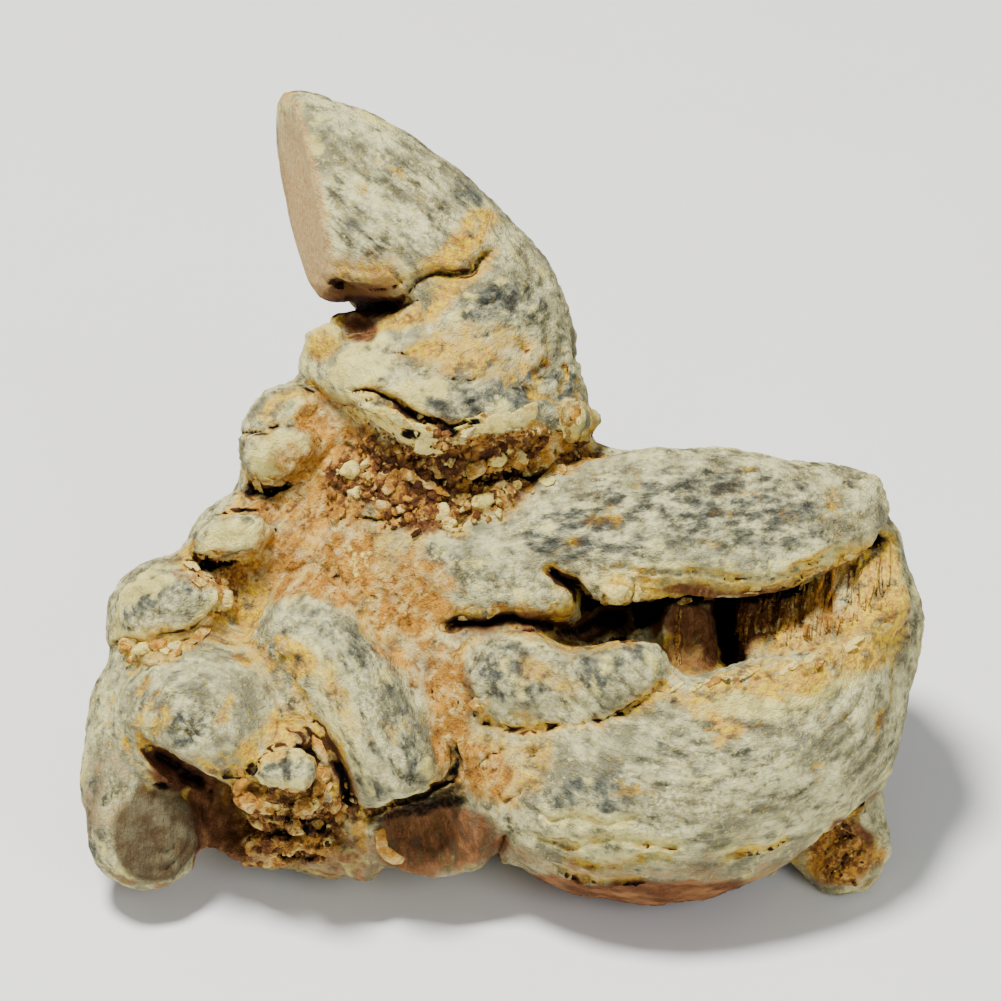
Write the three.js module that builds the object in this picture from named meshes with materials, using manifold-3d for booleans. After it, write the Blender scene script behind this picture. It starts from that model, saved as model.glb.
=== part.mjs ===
// A dried notoginseng root (san qi), resting on a table: one solid, in millimetres, +Z up.
//
// The root is described in the plane of its broad face: X runs across the face, Y up it towards the
// crown, and Z out of it. The face then slopes up from the table by FACE_RISE_DEG. Its skin is the zero
// surface of a field: rounded lobes run into each other, and the split, the creases and the notch are
// taken out of them. The field is meshed once. Box-shaped cutters then chop the crown off where the
// stem was, and leave the small flats that the root rests on.
import * as THREE from "three";
import { mergeVertices } from "three/addons/utils/BufferGeometryUtils.js";
import Module from "manifold-3d";

// ---- Driving dimensions, mm ----
const CELL = 1.3; // spacing of the grid that the skin is meshed on
const FACE_RISE_DEG = 54; // slope of the face above the table: 90 would stand it upright, 0 lay it flat
const REST_DEPTH = 0.45; // how much the table takes off the lowest bumps, which leaves flats to rest on
const FIELD_LOW = new THREE.Vector3(-31, -30, -25);
const FIELD_HIGH = new THREE.Vector3(31, 31, 18);
const SPANS_PER_KNOT = 4; // straight spans that follow a limb's curve from one knot to the next
const FAR = 1e3; // the field before anything is added
const TABLE_BLOCK = [200, 200, 20]; // size of the cutter that stands for the table
const SETTLE_STEP = 0.05; // distance over which the field's slope is measured
const SETTLE_PASSES = 3;
const LEAST_SLOPE = 0.5; // a flatter slope than this isn't trusted for the length of a step
const MERGE_TOLERANCE = 1e-4; // vertices closer than this are one

// ---- Field vocabulary: every function returns a distance, negative inside ----

// Two distances joined with a fillet of about k.
function blend(a, b, k) {
  const h = Math.max(k - Math.abs(a - b), 0) / k;
  return Math.min(a, b) - h * h * k * 0.25;
}

// A distance with another shape taken out of it, the edge rounded by about k.
const carve = (a, b, k) => -blend(-a, b, k);

// A rounded limb through knots [x, y, z, radius]. With flat, its section is flattened to that share
// along the direction normal, as a leaf or a blade is.
function limb(knots, { flat = 1, normal = [0, 0, 1] } = {}) {
  const curve = new THREE.CatmullRomCurve3(knots.map(([x, y, z]) => new THREE.Vector3(x, y, z)));
  const spans = (knots.length - 1) * SPANS_PER_KNOT;
  const stations = [];
  for (let i = 0; i <= spans; i++) {
    const along = i / SPANS_PER_KNOT;
    const k = Math.min(Math.floor(along), knots.length - 2);
    const ease = THREE.MathUtils.smoothstep(along - k, 0, 1);
    const radius = THREE.MathUtils.lerp(knots[k][3], knots[k + 1][3], ease);
    stations.push({ point: curve.getPoint(i / spans), radius });
  }
  const n = new THREE.Vector3(...normal).normalize();
  const ab = new THREE.Vector3();
  const ap = new THREE.Vector3();
  return (p) => {
    let best = Infinity;
    for (let i = 0; i < spans; i++) {
      const [a, b] = [stations[i], stations[i + 1]];
      ab.subVectors(b.point, a.point);
      ap.subVectors(p, a.point);
      const t = THREE.MathUtils.clamp(ap.dot(ab) / ab.lengthSq(), 0, 1);
      ap.addScaledVector(ab, -t);
      const off = ap.dot(n);
      const across = Math.sqrt(Math.max(ap.lengthSq() - off * off, 0));
      best = Math.min(best, Math.hypot(across, off / flat) - THREE.MathUtils.lerp(a.radius, b.radius, t));
    }
    return best * (0.5 + flat / 2);
  };
}

// An egg-shaped swelling: centre, half sizes, and a turn in degrees about Z.
function swelling(centre, [a, b, c], turn = 0) {
  const back = new THREE.Matrix4()
    .makeRotationZ(THREE.MathUtils.degToRad(turn))
    .setPosition(...centre)
    .invert();
  const q = new THREE.Vector3();
  return (p) => {
    q.copy(p).applyMatrix4(back);
    const k0 = Math.hypot(q.x / a, q.y / b, q.z / c);
    const k1 = Math.hypot(q.x / (a * a), q.y / (b * b), q.z / (c * c));
    return k1 < 1e-9 ? -Math.min(a, b, c) : (k0 * (k0 - 1)) / k1;
  };
}

// A shape cut off flat at a point, on the side that normal points to.
function cutOff(shape, point, normal) {
  const plane = new THREE.Plane().setFromNormalAndCoplanarPoint(
    new THREE.Vector3(...normal).normalize(),
    new THREE.Vector3(...point),
  );
  return (p) => Math.max(shape(p), plane.distanceToPoint(p));
}

// ---- The root, region by region. add joins a form on with a fillet, cut takes one out ----
const add = (fillet, shape) => (d, p) => blend(d, shape(p), fillet);
const cut = (fillet, shape) => (d, p) => carve(d, shape(p), fillet);

const body = [
  add(1, swelling([-4, -5, -2.5], [13, 11, 9.5], 20)),
  add(5, swelling([1, -6.6, -10.4], [13, 10, 8.5], -8)), // the back, which the root leans on
  add(3, limb([[4, -4, -6, 6], [13, -4, -7.5, 6], [20.5, -4.6, -5, 4.4]])), // right shoulder
  add(3, limb([[-9.5, 5, -1, 4.6], [-13, -1, -1.5, 4.4], [-16.5, -7, -1.5, 4.2]])), // left shoulder
];

const back = [
  add(2, swelling([-10.5, -1.5, -9], [5, 5.4, 5.2])),
  add(1.6, swelling([0.5, 2, -10], [5.4, 4.5, 4.6])),
  add(1.4, swelling([-3.4, -6.4, -16.4], [4.8, 4.8, 3.8])),
  add(1.6, swelling([15, -11, -8.5], [5.8, 5, 5])),
  // a rootlet that was cut off short, and a furrow that runs down beside it
  add(1.2, cutOff(limb([[7, -3.5, -13, 4], [12.5, -0.8, -19, 3]]), [11.2, -1.4, -17.6], [0.62, 0.3, -0.72])),
  cut(1.6, limb([[-7.5, 5, -7, 1.4], [-6, -1, -14.4, 1.6], [2, -1.6, -17.4, 1.6], [5, -9, -20, 1.4]])),
];

const crown = [
  // the neck that carried the stem: it bends to the left and ends in a rounded head
  add(3, limb([
    [-2.5, 1, -1, 6.8],
    [-2.5, 6, 0.4, 7.4],
    [-2.3, 10.5, 0.8, 6.9],
    [-4.6, 14.2, 1, 6.6],
    [-7.6, 17.2, 0.9, 6.2],
    [-12.4, 20.3, 0.6, 5.6],
    [-15, 21.4, 0.4, 5],
  ])),
  add(1.4, swelling([-1, 8.5, -5], [4.4, 4, 3])), // an old bud on its back
  // the collar at its foot, the notch above it and the step below it
  add(1.4, limb([[-9.8, 9.4, 1.5, 2.4], [-6.5, 7.4, 5.2, 3], [-2, 6.4, 6.4, 3.3], [2.6, 6.2, 2.5, 3.1]])),
  cut(1.2, limb([[-13, 12, -1, 1.2], [-9.5, 12.1, 3.6, 1.4], [-6, 12.3, 6.8, 1.1], [-3.2, 13.8, 8, 0.6]])),
  cut(1.2, limb([[-10.4, 5.6, 5, 1.2], [-7, 3.4, 8, 1.4], [-2.6, 1.8, 8.8, 1.4], [2.4, 2.2, 8, 1.4]])),
];

const leftSide = [
  add(2, swelling([-13.6, 4, 1.8], [3, 3.2, 3])),
  add(2, swelling([-16.9, -2.4, 1.4], [2.9, 2.3, 3])),
  add(1.6, swelling([-20.8, -7.8, 0.8], [4.2, 4.4, 4.6])),
];

const foot = [
  add(2.5, swelling([-13, -16.6, -5], [5, 4.4, 4.8])), // stands on the table, behind
  add(2.5, swelling([-11.5, -14, 0.5], [8, 6.5, 6.3])),
  add(1.5, swelling([-15, -20, 0.5], [4, 3.4, 4])),
  add(1.5, swelling([-10.2, -20.8, 1], [3.6, 3.4, 4.4])),
  add(1.5, swelling([-4.2, -20.2, 1.4], [4.2, 3.5, 4])),
  // the knuckle, the rootlet that hangs from it, and the slit between them
  add(1.2, swelling([-18, -13.9, 4.2], [6.4, 5, 5.6], -8)),
  add(1.2, cutOff(
    limb([[-22, -13.4, 0.5, 4.2], [-22.8, -18, 1.4, 4], [-22.7, -21, 2.2, 3.85]]),
    [-21.6, -21.1, 4.5],
    [0.43, -0.05, 0.9],
  )),
  cut(1, limb([[-22.6, -15.4, 6.4, 0.6], [-19.6, -17.2, 7, 1], [-17.4, -19.8, 5.4, 1.6]])),
  add(1.4, swelling([-13.2, -17.6, 5.8], [2.8, 2.3, 2.6])), // bead
];

const greatLobe = [
  add(1.8, limb([
    [2.6, -15.6, 1, 7.8],
    [9, -16.6, 2.4, 9.1],
    [16, -14.6, 2, 8.6],
    [20.4, -9.4, 0.4, 6.3],
    [22, -3.6, -1, 3.9],
  ])),
  // the split that opens its upper side, with a roof, a partition and a fibrous wall inside
  cut(1, swelling([15.5, -6, 5], [11, 4.4, 8.5], 17)),
  add(2, limb([[6, 0.2, 1, 3], [14, 0.4, 0.6, 2.9], [21, -0.2, -0.6, 2.5]])),
  add(1.2, swelling([11.6, -8.8, 2.2], [1.9, 3.4, 4.6])),
  add(1.2, limb([[17.4, -8.2, 0.4, 2.8], [20, -6.4, 0.4, 3], [22.6, -4.2, -0.6, 2.6]])),
  add(1.2, cutOff(
    limb([[18, -14.6, -3.6, 4], [20.8, -18.8, -2, 3.5], [22, -22.2, -0.4, 3.1]]),
    [21.2, -22.2, 1.6],
    [-0.5, -0.1, 0.86],
  )), // rear rootlet
];

const front = [
  // the blade that roofs the split, leaf-shaped
  add(1, limb([
    [-2.6, -0.6, 4.4, 1.6],
    [1, -0.9, 5.2, 2.4],
    [5, -1.3, 6, 4.1],
    [10, -1.3, 6.4, 5.1],
    [15, -1.65, 5.8, 5],
    [19.6, -1.15, 4.2, 4],
    [22, -0.3, 2.8, 3],
  ], { flat: 0.5, normal: [0, 0.36, 0.93] })),
  // the shelf to its left, the peanut-shaped nodule in its hollow, and the crack between them
  add(1.2, swelling([-0.4, -4.9, 5.8], [5.8, 2.9, 2.8], -14)),
  cut(2, swelling([5.6, -12.8, 12.6], [8, 4, 3.2], 5)),
  add(1.2, swelling([1.4, -10.9, 7.9], [3.6, 2.7, 2.6])),
  add(1.2, swelling([7, -10.6, 8.7], [3.9, 2.7, 2.6])),
  cut(1, limb([[-3, -7.9, 8.4, 0.6], [2.4, -7.4, 8.8, 0.8], [4.8, -8.3, 9.2, 1], [9, -7, 7.4, 1]])),
  // the finger laid across the front, and the hollow under its broken end
  add(2.5, swelling([-3, -12, 2], [6, 7, 5.6])),
  add(1.2, limb([[-12.6, -9.4, 4.6, 2.5], [-11, -13, 5.6, 2.3], [-9, -17.4, 5.6, 2]])),
  add(1.4, limb([
    [-12.2, -8.2, 5.6, 2.9],
    [-10, -10.8, 7.2, 3.1],
    [-8, -14.2, 7.8, 3],
    [-6.4, -17.2, 7.4, 2.8],
  ])),
  cut(1, swelling([-5.2, -20.8, 8.4], [3.6, 2.3, 4.2], 20)),
];

const STEPS = [...body, ...back, ...crown, ...leftSide, ...foot, ...greatLobe, ...front];
const field = (p) => STEPS.reduce((d, step) => step(d, p), FAR);

// ---- Meshing: a vertex for each sheet of skin in a grid cell, a quad across each crossed edge ----

// A cell's corners are numbered 0 to 7, one bit for each axis, and the edge that leaves corner c along
// an axis is numbered 8 * axis + c. RINGS lists the four edges round each face, in turn.
const EDGE_NUMBERS = 3 * 8;
const RINGS = [];
for (let axis = 0; axis < 3; axis++)
  for (const c of [0, 1 << axis]) {
    const [u, w] = [(axis + 1) % 3, (axis + 2) % 3];
    RINGS.push([8 * u + c, 8 * w + (c | (1 << u)), 8 * u + (c | (1 << w)), 8 * w + c]);
  }

// Groups a cell's crossed edges into loops, one for each sheet of skin that passes through it.
function loopsOf(crossed, insideCorner) {
  const group = new Map(crossed.map((edge) => [edge, edge]));
  const join = (a, b) => {
    const [from, to] = [group.get(a), group.get(b)];
    for (const [edge, g] of group) if (g === from) group.set(edge, to);
  };
  for (const ring of RINGS) {
    const found = ring.filter((edge) => group.has(edge));
    if (found.length === 2) join(found[0], found[1]);
    if (found.length === 4) {
      // two sheets cross this face, so each of its inside corners is cut off by itself
      const shift = insideCorner(ring[0] % 8) ? 3 : 0;
      join(ring[shift], ring[(shift + 1) % 4]);
      join(ring[(shift + 2) % 4], ring[(shift + 3) % 4]);
    }
  }
  return Map.groupBy(crossed, (edge) => group.get(edge)).values();
}

function meshField(sample, low, high, cell) {
  const size = new THREE.Vector3().subVectors(high, low).divideScalar(cell).ceil().addScalar(1);
  const strides = [1, size.x, size.x * size.y];
  const cornerOffset = (c) => (c & 1) * strides[0] + ((c >> 1) & 1) * strides[1] + (c >> 2) * strides[2];
  const place = (n) =>
    new THREE.Vector3(n % size.x, Math.floor(n / strides[1]) % size.y, Math.floor(n / strides[2]));
  const toField = (v) => v.multiplyScalar(cell).add(low);
  const values = new Float64Array(size.x * size.y * size.z);
  for (let n = 0; n < values.length; n++) values[n] = sample(toField(place(n)));
  const inside = (n) => values[n] < 0;
  const crosses = (n, axis) => inside(n) !== inside(n + strides[axis]);

  // the point where the skin crosses the grid edge that leaves grid point n along an axis
  function crossing(n, axis) {
    const t = values[n] / (values[n] - values[n + strides[axis]]);
    const point = place(n);
    return point.setComponent(axis, point.getComponent(axis) + t);
  }

  const vertexOf = new Map(); // by cell and edge
  const points = [];
  for (let n = 0; n < values.length - cornerOffset(7); n++) {
    const crossed = [];
    for (let edge = 0; edge < EDGE_NUMBERS; edge++) {
      const [axis, c] = [edge >> 3, edge % 8];
      if (!(c & (1 << axis)) && crosses(n + cornerOffset(c), axis)) crossed.push(edge);
    }
    if (!crossed.length) continue;
    for (const loop of loopsOf(crossed, (c) => inside(n + cornerOffset(c)))) {
      const mean = new THREE.Vector3();
      for (const edge of loop) mean.add(crossing(n + cornerOffset(edge % 8), edge >> 3));
      for (const edge of loop) vertexOf.set(EDGE_NUMBERS * n + edge, points.length);
      points.push(toField(mean.divideScalar(loop.length)));
    }
  }

  const faces = [];
  for (let n = strides[2]; n < values.length - strides[2]; n++)
    for (let axis = 0; axis < 3; axis++) {
      if (!crosses(n, axis)) continue;
      const [u, w] = [(axis + 1) % 3, (axis + 2) % 3];
      const around = [0, 1 << u, (1 << u) | (1 << w), 1 << w].map((c) =>
        vertexOf.get(EDGE_NUMBERS * (n - cornerOffset(c)) + 8 * axis + c),
      );
      const [a, b, c, d] = inside(n) ? around : around.reverse();
      const shortAC = points[a].distanceToSquared(points[c]) <= points[b].distanceToSquared(points[d]);
      faces.push(...(shortAC ? [a, b, c, a, c, d] : [a, b, d, b, c, d]));
    }
  return { points, faces };
}

// Slides each vertex along the field's gradient until it lies on the zero surface.
function settle(points, sample) {
  const h = SETTLE_STEP;
  const axes = [new THREE.Vector3(h, 0, 0), new THREE.Vector3(0, h, 0), new THREE.Vector3(0, 0, h)];
  const q = new THREE.Vector3();
  for (const p of points)
    for (let pass = 0; pass < SETTLE_PASSES; pass++) {
      const slope = axes.map((a) => (sample(q.addVectors(p, a)) - sample(q.subVectors(p, a))) / (2 * h));
      const gradient = new THREE.Vector3(...slope);
      const step = sample(p) / Math.max(gradient.lengthSq(), LEAST_SLOPE ** 2);
      p.addScaledVector(gradient, THREE.MathUtils.clamp(-step, -CELL / 3, CELL / 3));
    }
}

function skinGeometry() {
  const { points, faces } = meshField(field, FIELD_LOW, FIELD_HIGH, CELL);
  settle(points, field);
  const geometry = new THREE.BufferGeometry().setFromPoints(points);
  geometry.setIndex(faces);
  return geometry;
}

// ---- Cutting ----
const wasm = await Module();
wasm.setup();

function solidOf(geometry) {
  const bare = geometry.clone();
  bare.deleteAttribute("normal");
  bare.deleteAttribute("uv");
  const merged = mergeVertices(bare, MERGE_TOLERANCE);
  return new wasm.Manifold(
    new wasm.Mesh({
      numProp: 3,
      vertProperties: new Float32Array(merged.attributes.position.array),
      triVerts: new Uint32Array(merged.index.array),
    }),
  );
}

function geometryOf(solid) {
  const mesh = solid.getMesh();
  const geometry = new THREE.BufferGeometry();
  geometry.setAttribute("position", new THREE.BufferAttribute(mesh.vertProperties, 3));
  geometry.setIndex(new THREE.BufferAttribute(mesh.triVerts, 1));
  return geometry;
}

// A box whose one face passes through point, with the box on the side that normal points to.
function blockBeyond(point, normal, size) {
  const n = new THREE.Vector3(...normal).normalize();
  const turn = new THREE.Quaternion().setFromUnitVectors(new THREE.Vector3(0, 0, 1), n);
  const centre = new THREE.Vector3(...point).addScaledVector(n, size[2] / 2);
  return new THREE.BoxGeometry(...size).applyQuaternion(turn).translate(...centre.toArray());
}

// The crown ends flat, where the stem was cut away.
const stemCut = blockBeyond([-12.9, 19.8, 1], [-0.96, -0.17, 0.22], [15, 15, 12]);
let solid = solidOf(skinGeometry()).subtract(solidOf(stemCut));

// The table takes a little off the lowest bumps of the sloping root.
const lean = new THREE.Matrix4().makeRotationX(THREE.MathUtils.degToRad(FACE_RISE_DEG));
const down = new THREE.Vector3(0, 0, -1).transformDirection(lean.clone().invert());
const boxOf = (geometry) => new THREE.Box3().setFromBufferAttribute(geometry.getAttribute("position"));
const lowest = boxOf(geometryOf(solid).applyMatrix4(lean)).min.z;
const onTable = down.clone().multiplyScalar(-lowest - REST_DEPTH);
solid = solid.subtract(solidOf(blockBeyond(onTable.toArray(), down.toArray(), TABLE_BLOCK)));

const skin = geometryOf(solid);
skin.computeVertexNormals();
const box = boxOf(skin.clone().applyMatrix4(lean));
const middle = box.getCenter(new THREE.Vector3());

const root = new THREE.Mesh(
  skin,
  new THREE.MeshStandardMaterial({ color: 0x9c9076, roughness: 0.9, metalness: 0 }),
);
root.name = "notoginseng_root";
root.rotation.x = THREE.MathUtils.degToRad(FACE_RISE_DEG);
root.position.set(-middle.x, -middle.y, -box.min.z); // the origin is under the middle of its box

const group = new THREE.Group();
group.add(root);
export default group;
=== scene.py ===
"""The looks of a dried notoginseng root (san qi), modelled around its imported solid.

The root is described in the plane of its broad face, in millimetres: u runs across the face, v up it
towards the crown, and w out of it. The solid becomes a field on a grid in that frame. Cracks, broken
bark, scars and hollows are worked into the field, which is then meshed, wrinkled and coloured.
"""
import math

import bmesh
import bpy
import numpy as np
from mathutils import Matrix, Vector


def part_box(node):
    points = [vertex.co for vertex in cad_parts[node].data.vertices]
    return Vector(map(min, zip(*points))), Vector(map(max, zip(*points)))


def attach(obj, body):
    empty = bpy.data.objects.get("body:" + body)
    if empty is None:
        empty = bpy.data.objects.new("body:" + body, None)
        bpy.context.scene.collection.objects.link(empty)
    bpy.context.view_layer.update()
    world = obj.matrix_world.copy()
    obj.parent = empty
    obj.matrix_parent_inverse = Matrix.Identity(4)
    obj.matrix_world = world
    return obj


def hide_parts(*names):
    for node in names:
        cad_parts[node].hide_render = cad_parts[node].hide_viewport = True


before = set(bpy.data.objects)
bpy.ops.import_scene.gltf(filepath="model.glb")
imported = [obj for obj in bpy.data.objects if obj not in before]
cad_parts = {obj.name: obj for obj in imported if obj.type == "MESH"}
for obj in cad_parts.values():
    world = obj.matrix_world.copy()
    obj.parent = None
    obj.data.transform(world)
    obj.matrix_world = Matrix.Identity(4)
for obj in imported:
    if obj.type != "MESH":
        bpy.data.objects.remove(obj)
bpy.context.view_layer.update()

import openvdb as vdb
from mathutils import Vector
from mathutils.bvhtree import BVHTree

# ---- Driving values, mm unless said otherwise ----
NODE = "notoginseng_root"
MM = 0.001  # metres in a millimetre
FACE_RISE = math.radians(54)  # slope of the broad face above the table
FACE_ORIGIN = (0.4994, 0.5468, 0.4805)  # the face frame's origin, as shares of the node's box
STEP = 0.22  # spacing of the grid
BAND = 3.3  # the field is a true distance this far from the skin
MARGIN = 1.6  # grid kept clear round the root
TUBE_MARGIN = 1.5  # how far beyond a tube the field is worked out again
FAR = 9.0  # more than any distance that is compared near a tube or among seeds
FAR_OFF = 99.0  # more than any distance on the face plane
FACET_BLUR = 0.42  # how far the solid's facets are smoothed
DRAWN_BEHIND = (-4.6, -3)  # drawn marks fade out this far behind the front of the skin
DRAWN_AHEAD = (2.4, 1.2)  # and this far in front of it
FEELERS = ((0.5, 0.3), (1.1, 0.3), (2, 0.25), (3.2, 0.15))  # how far out cracks are felt for, and its weight
HOLLOW_BLURS = (0.9, 2.2)  # blurs of the field that show small hollows and deep ones
WANDERS = ((0.4, 2.4), (0.16, 0.8))  # how far drawn lines stray, and over what length
STAINS = ("ochre", "rust", "slate", "cream", "black")
MOST_TRIANGLES = 194_000
IN_FRONT = 40  # farther out along w than any part of the root
SEED = 20

# faces cut flat: a point on each, the way it faces and how far it reaches
STEM_CUT = ((-12.85, 19.8, 1), (-0.96, -0.17, 0.22), 9.5)
HANGING_CUT = ((-21.7, -21.3, 4.4), (0.43, -0.05, 0.9), 3.5)
REAR_CUT = ((21.2, -22.2, 1.5), (-0.5, -0.1, 0.86), 4)
BACK_CUT = ((11.2, -1.4, -17.55), (0.62, 0.3, -0.72), 4.4)
CUTS = (STEM_CUT, HANGING_CUT, REAR_CUT, BACK_CUT)

low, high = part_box(NODE)
ORIGIN = np.array([low[k] + FACE_ORIGIN[k] * (high[k] - low[k]) for k in range(3)])
AXES = np.array([
    (1, 0, 0),
    (0, math.cos(FACE_RISE), math.sin(FACE_RISE)),
    (0, -math.sin(FACE_RISE), math.cos(FACE_RISE)),
])


def to_face(points):
    return (np.asarray(points, float) - ORIGIN) @ AXES.T / MM


def to_world(points):
    return np.asarray(points, float) @ AXES * MM + ORIGIN


def smoothstep(a, b, x):
    t = np.clip((x - a) / (b - a), 0, 1)
    return t * t * (3 - 2 * t)


def bell(x):
    return np.exp(-(x**2))


def turned(u, v, angle):
    """A flat shape turned by an angle."""
    c, s = math.cos(angle), math.sin(angle)
    return c * u - s * v, s * u + c * v


# ---- Noise on points of shape (n, 3); every result depends on the place and the salt alone ----
PRIMES = [np.uint32(k) for k in (374761393, 668265263, 2246822519, 3266489917)]  # they scatter the numbers


def lattice(cells, salt):
    """A steady random number from 0 to 1 for each lattice cell."""
    x, y, z = (cells[..., k].astype(np.uint32) for k in range(3))
    h = x * PRIMES[0] + y * PRIMES[1] + z * PRIMES[2]
    h += np.uint32(salt * int(PRIMES[3]) & 0xFFFFFFFF)
    h = (h ^ (h >> np.uint32(15))) * PRIMES[2]
    h = (h ^ (h >> np.uint32(13))) * PRIMES[3]
    return (h ^ (h >> np.uint32(16))).astype(np.float64) / 2**32


def blended(cell, f, value_at):
    """The values at the corners of each grid cell, blended for a place f of the way through it."""
    total = 0
    for corner in np.ndindex(*(2,) * cell.shape[-1]):
        weight = np.prod(np.where(corner, f, 1 - f), axis=-1)
        total = total + weight * value_at(cell + corner)
    return total


def noise(points, size, salt=0):
    """Smooth noise from -1 to 1 whose bumps are about size apart. size may differ by axis."""
    p = np.asarray(points) / np.asarray(size)
    cell = np.floor(p).astype(np.int64)
    f = p - cell
    f = f * f * f * (f * (f * 6 - 15) + 10)
    return blended(cell, f, lambda corner: lattice(corner, salt)) * 2 - 1


def cloudy(points, size, salt=0, octaves=4, salt_step=7, fold=lambda x: x):
    """Noise of several sizes, each half the one before, from about -1 to 1."""
    total, weight = 0, 0
    for k in range(octaves):
        layer = noise(points, np.asarray(size) / 2**k, salt + salt_step * k)
        total = total + 0.5**k * fold(layer)
        weight += 0.5**k
    return total / weight


def creased(points, size, salt=0, octaves=3):
    """Noise folded into sharp valleys: 0 in the valleys and up to 1 between them."""
    return cloudy(points, size, salt, octaves, salt_step=11, fold=np.abs)


def ridges(points, size, salt, top, octaves=3):
    """0 in sharp valleys, and 1 on the flat tops between them, where the noise is over top."""
    return np.minimum(creased(points, size, salt, octaves), top) / top


def cells(points, size, salt=0):
    """Distances to the nearest and second nearest of scattered seeds, and the nearest one's number."""
    p = np.asarray(points) / np.asarray(size)
    cell = np.floor(p).astype(np.int64)
    first = np.full(len(p), FAR)
    second = first.copy()
    number = np.zeros(len(p))
    for shift in np.ndindex(3, 3, 3):
        at = cell + np.array(shift) - 1
        seed = np.stack([lattice(at, salt + k) for k in (1, 2, 3)], -1)
        d = np.linalg.norm(at + seed - p, axis=-1)
        closer = d < first
        second = np.where(closer, first, np.minimum(second, d))
        number = np.where(closer, lattice(at, salt + 4), number)
        first = np.where(closer, d, first)
    return first, second, number


# ---- The field: a signed distance on a grid in the face frame, negative inside ----
def blurred(values, width):
    """values smoothed by a bell curve of that width, mm, along each axis."""
    reach = max(1, round(2.4 * width / STEP))
    weights = np.exp(-0.5 * (np.arange(-reach, reach + 1) * STEP / width) ** 2)
    weights /= weights.sum()
    for axis in range(values.ndim):
        edge = [(reach, reach) if k == axis else (0, 0) for k in range(values.ndim)]
        padded = np.pad(values, edge, mode="edge")
        n = values.shape[axis]
        values = sum(
            w * np.take(padded, np.arange(k, k + n), axis=axis) for k, w in enumerate(weights)
        ).astype(np.float32)
    return values


def sampled(values, corner, points):
    """values read between its grid points, for a 2-D or 3-D grid."""
    k = values.ndim
    p = (np.asarray(points)[:, :k] - corner[:k]) / STEP
    p = np.clip(p, 0, np.array(values.shape) - 1.001)
    cell = p.astype(np.int64)
    return blended(cell, p - cell, lambda corner: values[tuple(corner.T)])


class Field:
    """A level set of the root on a grid, which tubes and flat cuts change."""

    def __init__(self, points, triangles):
        first = np.floor((points.min(0) - MARGIN) / STEP).astype(int)
        last = np.ceil((points.max(0) + MARGIN) / STEP).astype(int)
        self.first = tuple(int(k) for k in first)
        self.corner = first * STEP
        self.spacing = vdb.createLinearTransform(voxelSize=STEP)
        grid = vdb.FloatGrid.createLevelSetFromPolygons(
            points.astype(np.float32), triangles=triangles, transform=self.spacing, halfWidth=BAND / STEP
        )
        self.values = np.full(last - first, BAND, np.float32)
        grid.copyToArray(self.values, ijk=self.first)
        self.places = [self.corner[k] + STEP * np.arange(n) for k, n in enumerate(self.values.shape)]

    def window(self, points, reach):
        """The part of the grid within reach of some points: its slices and its coordinates."""
        points = np.asarray(points, float)
        a = np.floor((points.min(0) - reach - self.corner) / STEP).astype(int)
        b = np.ceil((points.max(0) + reach - self.corner) / STEP).astype(int)
        n = self.values.shape
        part = tuple(slice(max(a[k], 0), min(b[k], n[k])) for k in range(3))
        return part, np.ix_(*(place[cut] for place, cut in zip(self.places, part)))

    def front(self):
        """How far out the skin lies in front of each point of the face plane, 2-D."""
        inside = self.values < 0
        last = inside.shape[2] - 1 - np.argmax(inside[:, :, ::-1], axis=2)
        w = self.corner[2] + STEP * last
        return np.where(inside.any(axis=2), w, self.corner[2])

    def chop(self, point, normal, reach):
        """Cuts off flat what lies within reach of a point, on the side that normal points to."""
        n = np.array(normal, float) / np.linalg.norm(normal)
        part, places = self.window([point], reach)
        u, v, w = (x - c for x, c in zip(places, point))
        away = np.sqrt(u**2 + v**2 + w**2) - reach
        self.values[part] = np.maximum(self.values[part], np.minimum(n[0] * u + n[1] * v + n[2] * w, -away))

    def tube(self, knots, fillet, side):
        """Adds (side 1) or takes out (side -1) a round tube through knots (u, v, w, radius)."""
        knots = np.array(knots, float)
        part, places = self.window(knots[:, :3], knots[:, 3].max() + TUBE_MARGIN)
        best = np.full(self.values[part].shape, FAR, np.float32)
        for a, b in zip(knots[:-1], knots[1:]):
            ab = (b - a)[:3]
            t = sum((x - a[k]) * ab[k] for k, x in enumerate(places))
            t = np.clip(t / ab.dot(ab), 0, 1)
            d = np.sqrt(sum((x - a[k] - t * ab[k]) ** 2 for k, x in enumerate(places)))
            best = np.minimum(best, d - (a[3] + t * (b[3] - a[3])))
        here = side * self.values[part]
        h = np.maximum(fillet - np.abs(here - best), 0) / fillet
        self.values[part] = side * (np.minimum(here, best) - h * h * fillet * 0.25)

    def mesh(self):
        grid = vdb.FloatGrid(float(BAND))
        grid.copyFromArray(self.values, ijk=self.first, tolerance=0.0)
        grid.transform = self.spacing
        points, _, quads = grid.convertToPolygons(isovalue=0.0, adaptivity=0.0)
        return points.astype(float), quads.astype(np.int64)


# ---- Drawing on the face plane ----
def through(points, spans=6):
    """More points on the smooth curve through points."""
    p = np.array(points, float)
    if len(p) < 3:
        return p
    ends = np.vstack([2 * p[0] - p[1], p, 2 * p[-1] - p[-2]])
    made = []
    for k in range(len(p) - 1):
        a, b, c, d = ends[k:k + 4]
        for t in np.arange(spans) / spans:
            made.append(0.5 * (2 * b + (c - a) * t + (2 * a - 5 * b + 4 * c - d) * t**2
                               + (3 * b - a - 3 * c + d) * t**3))
    return np.array(made + [p[-1]])


def arc(centre, size, tall, angles):
    """Points round a centre, at angles in degrees: size wide and tall times as high."""
    turn = np.radians(angles)
    return np.stack([centre[0] + size * np.cos(turn), centre[1] + tall * size * np.sin(turn)], -1)


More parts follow.
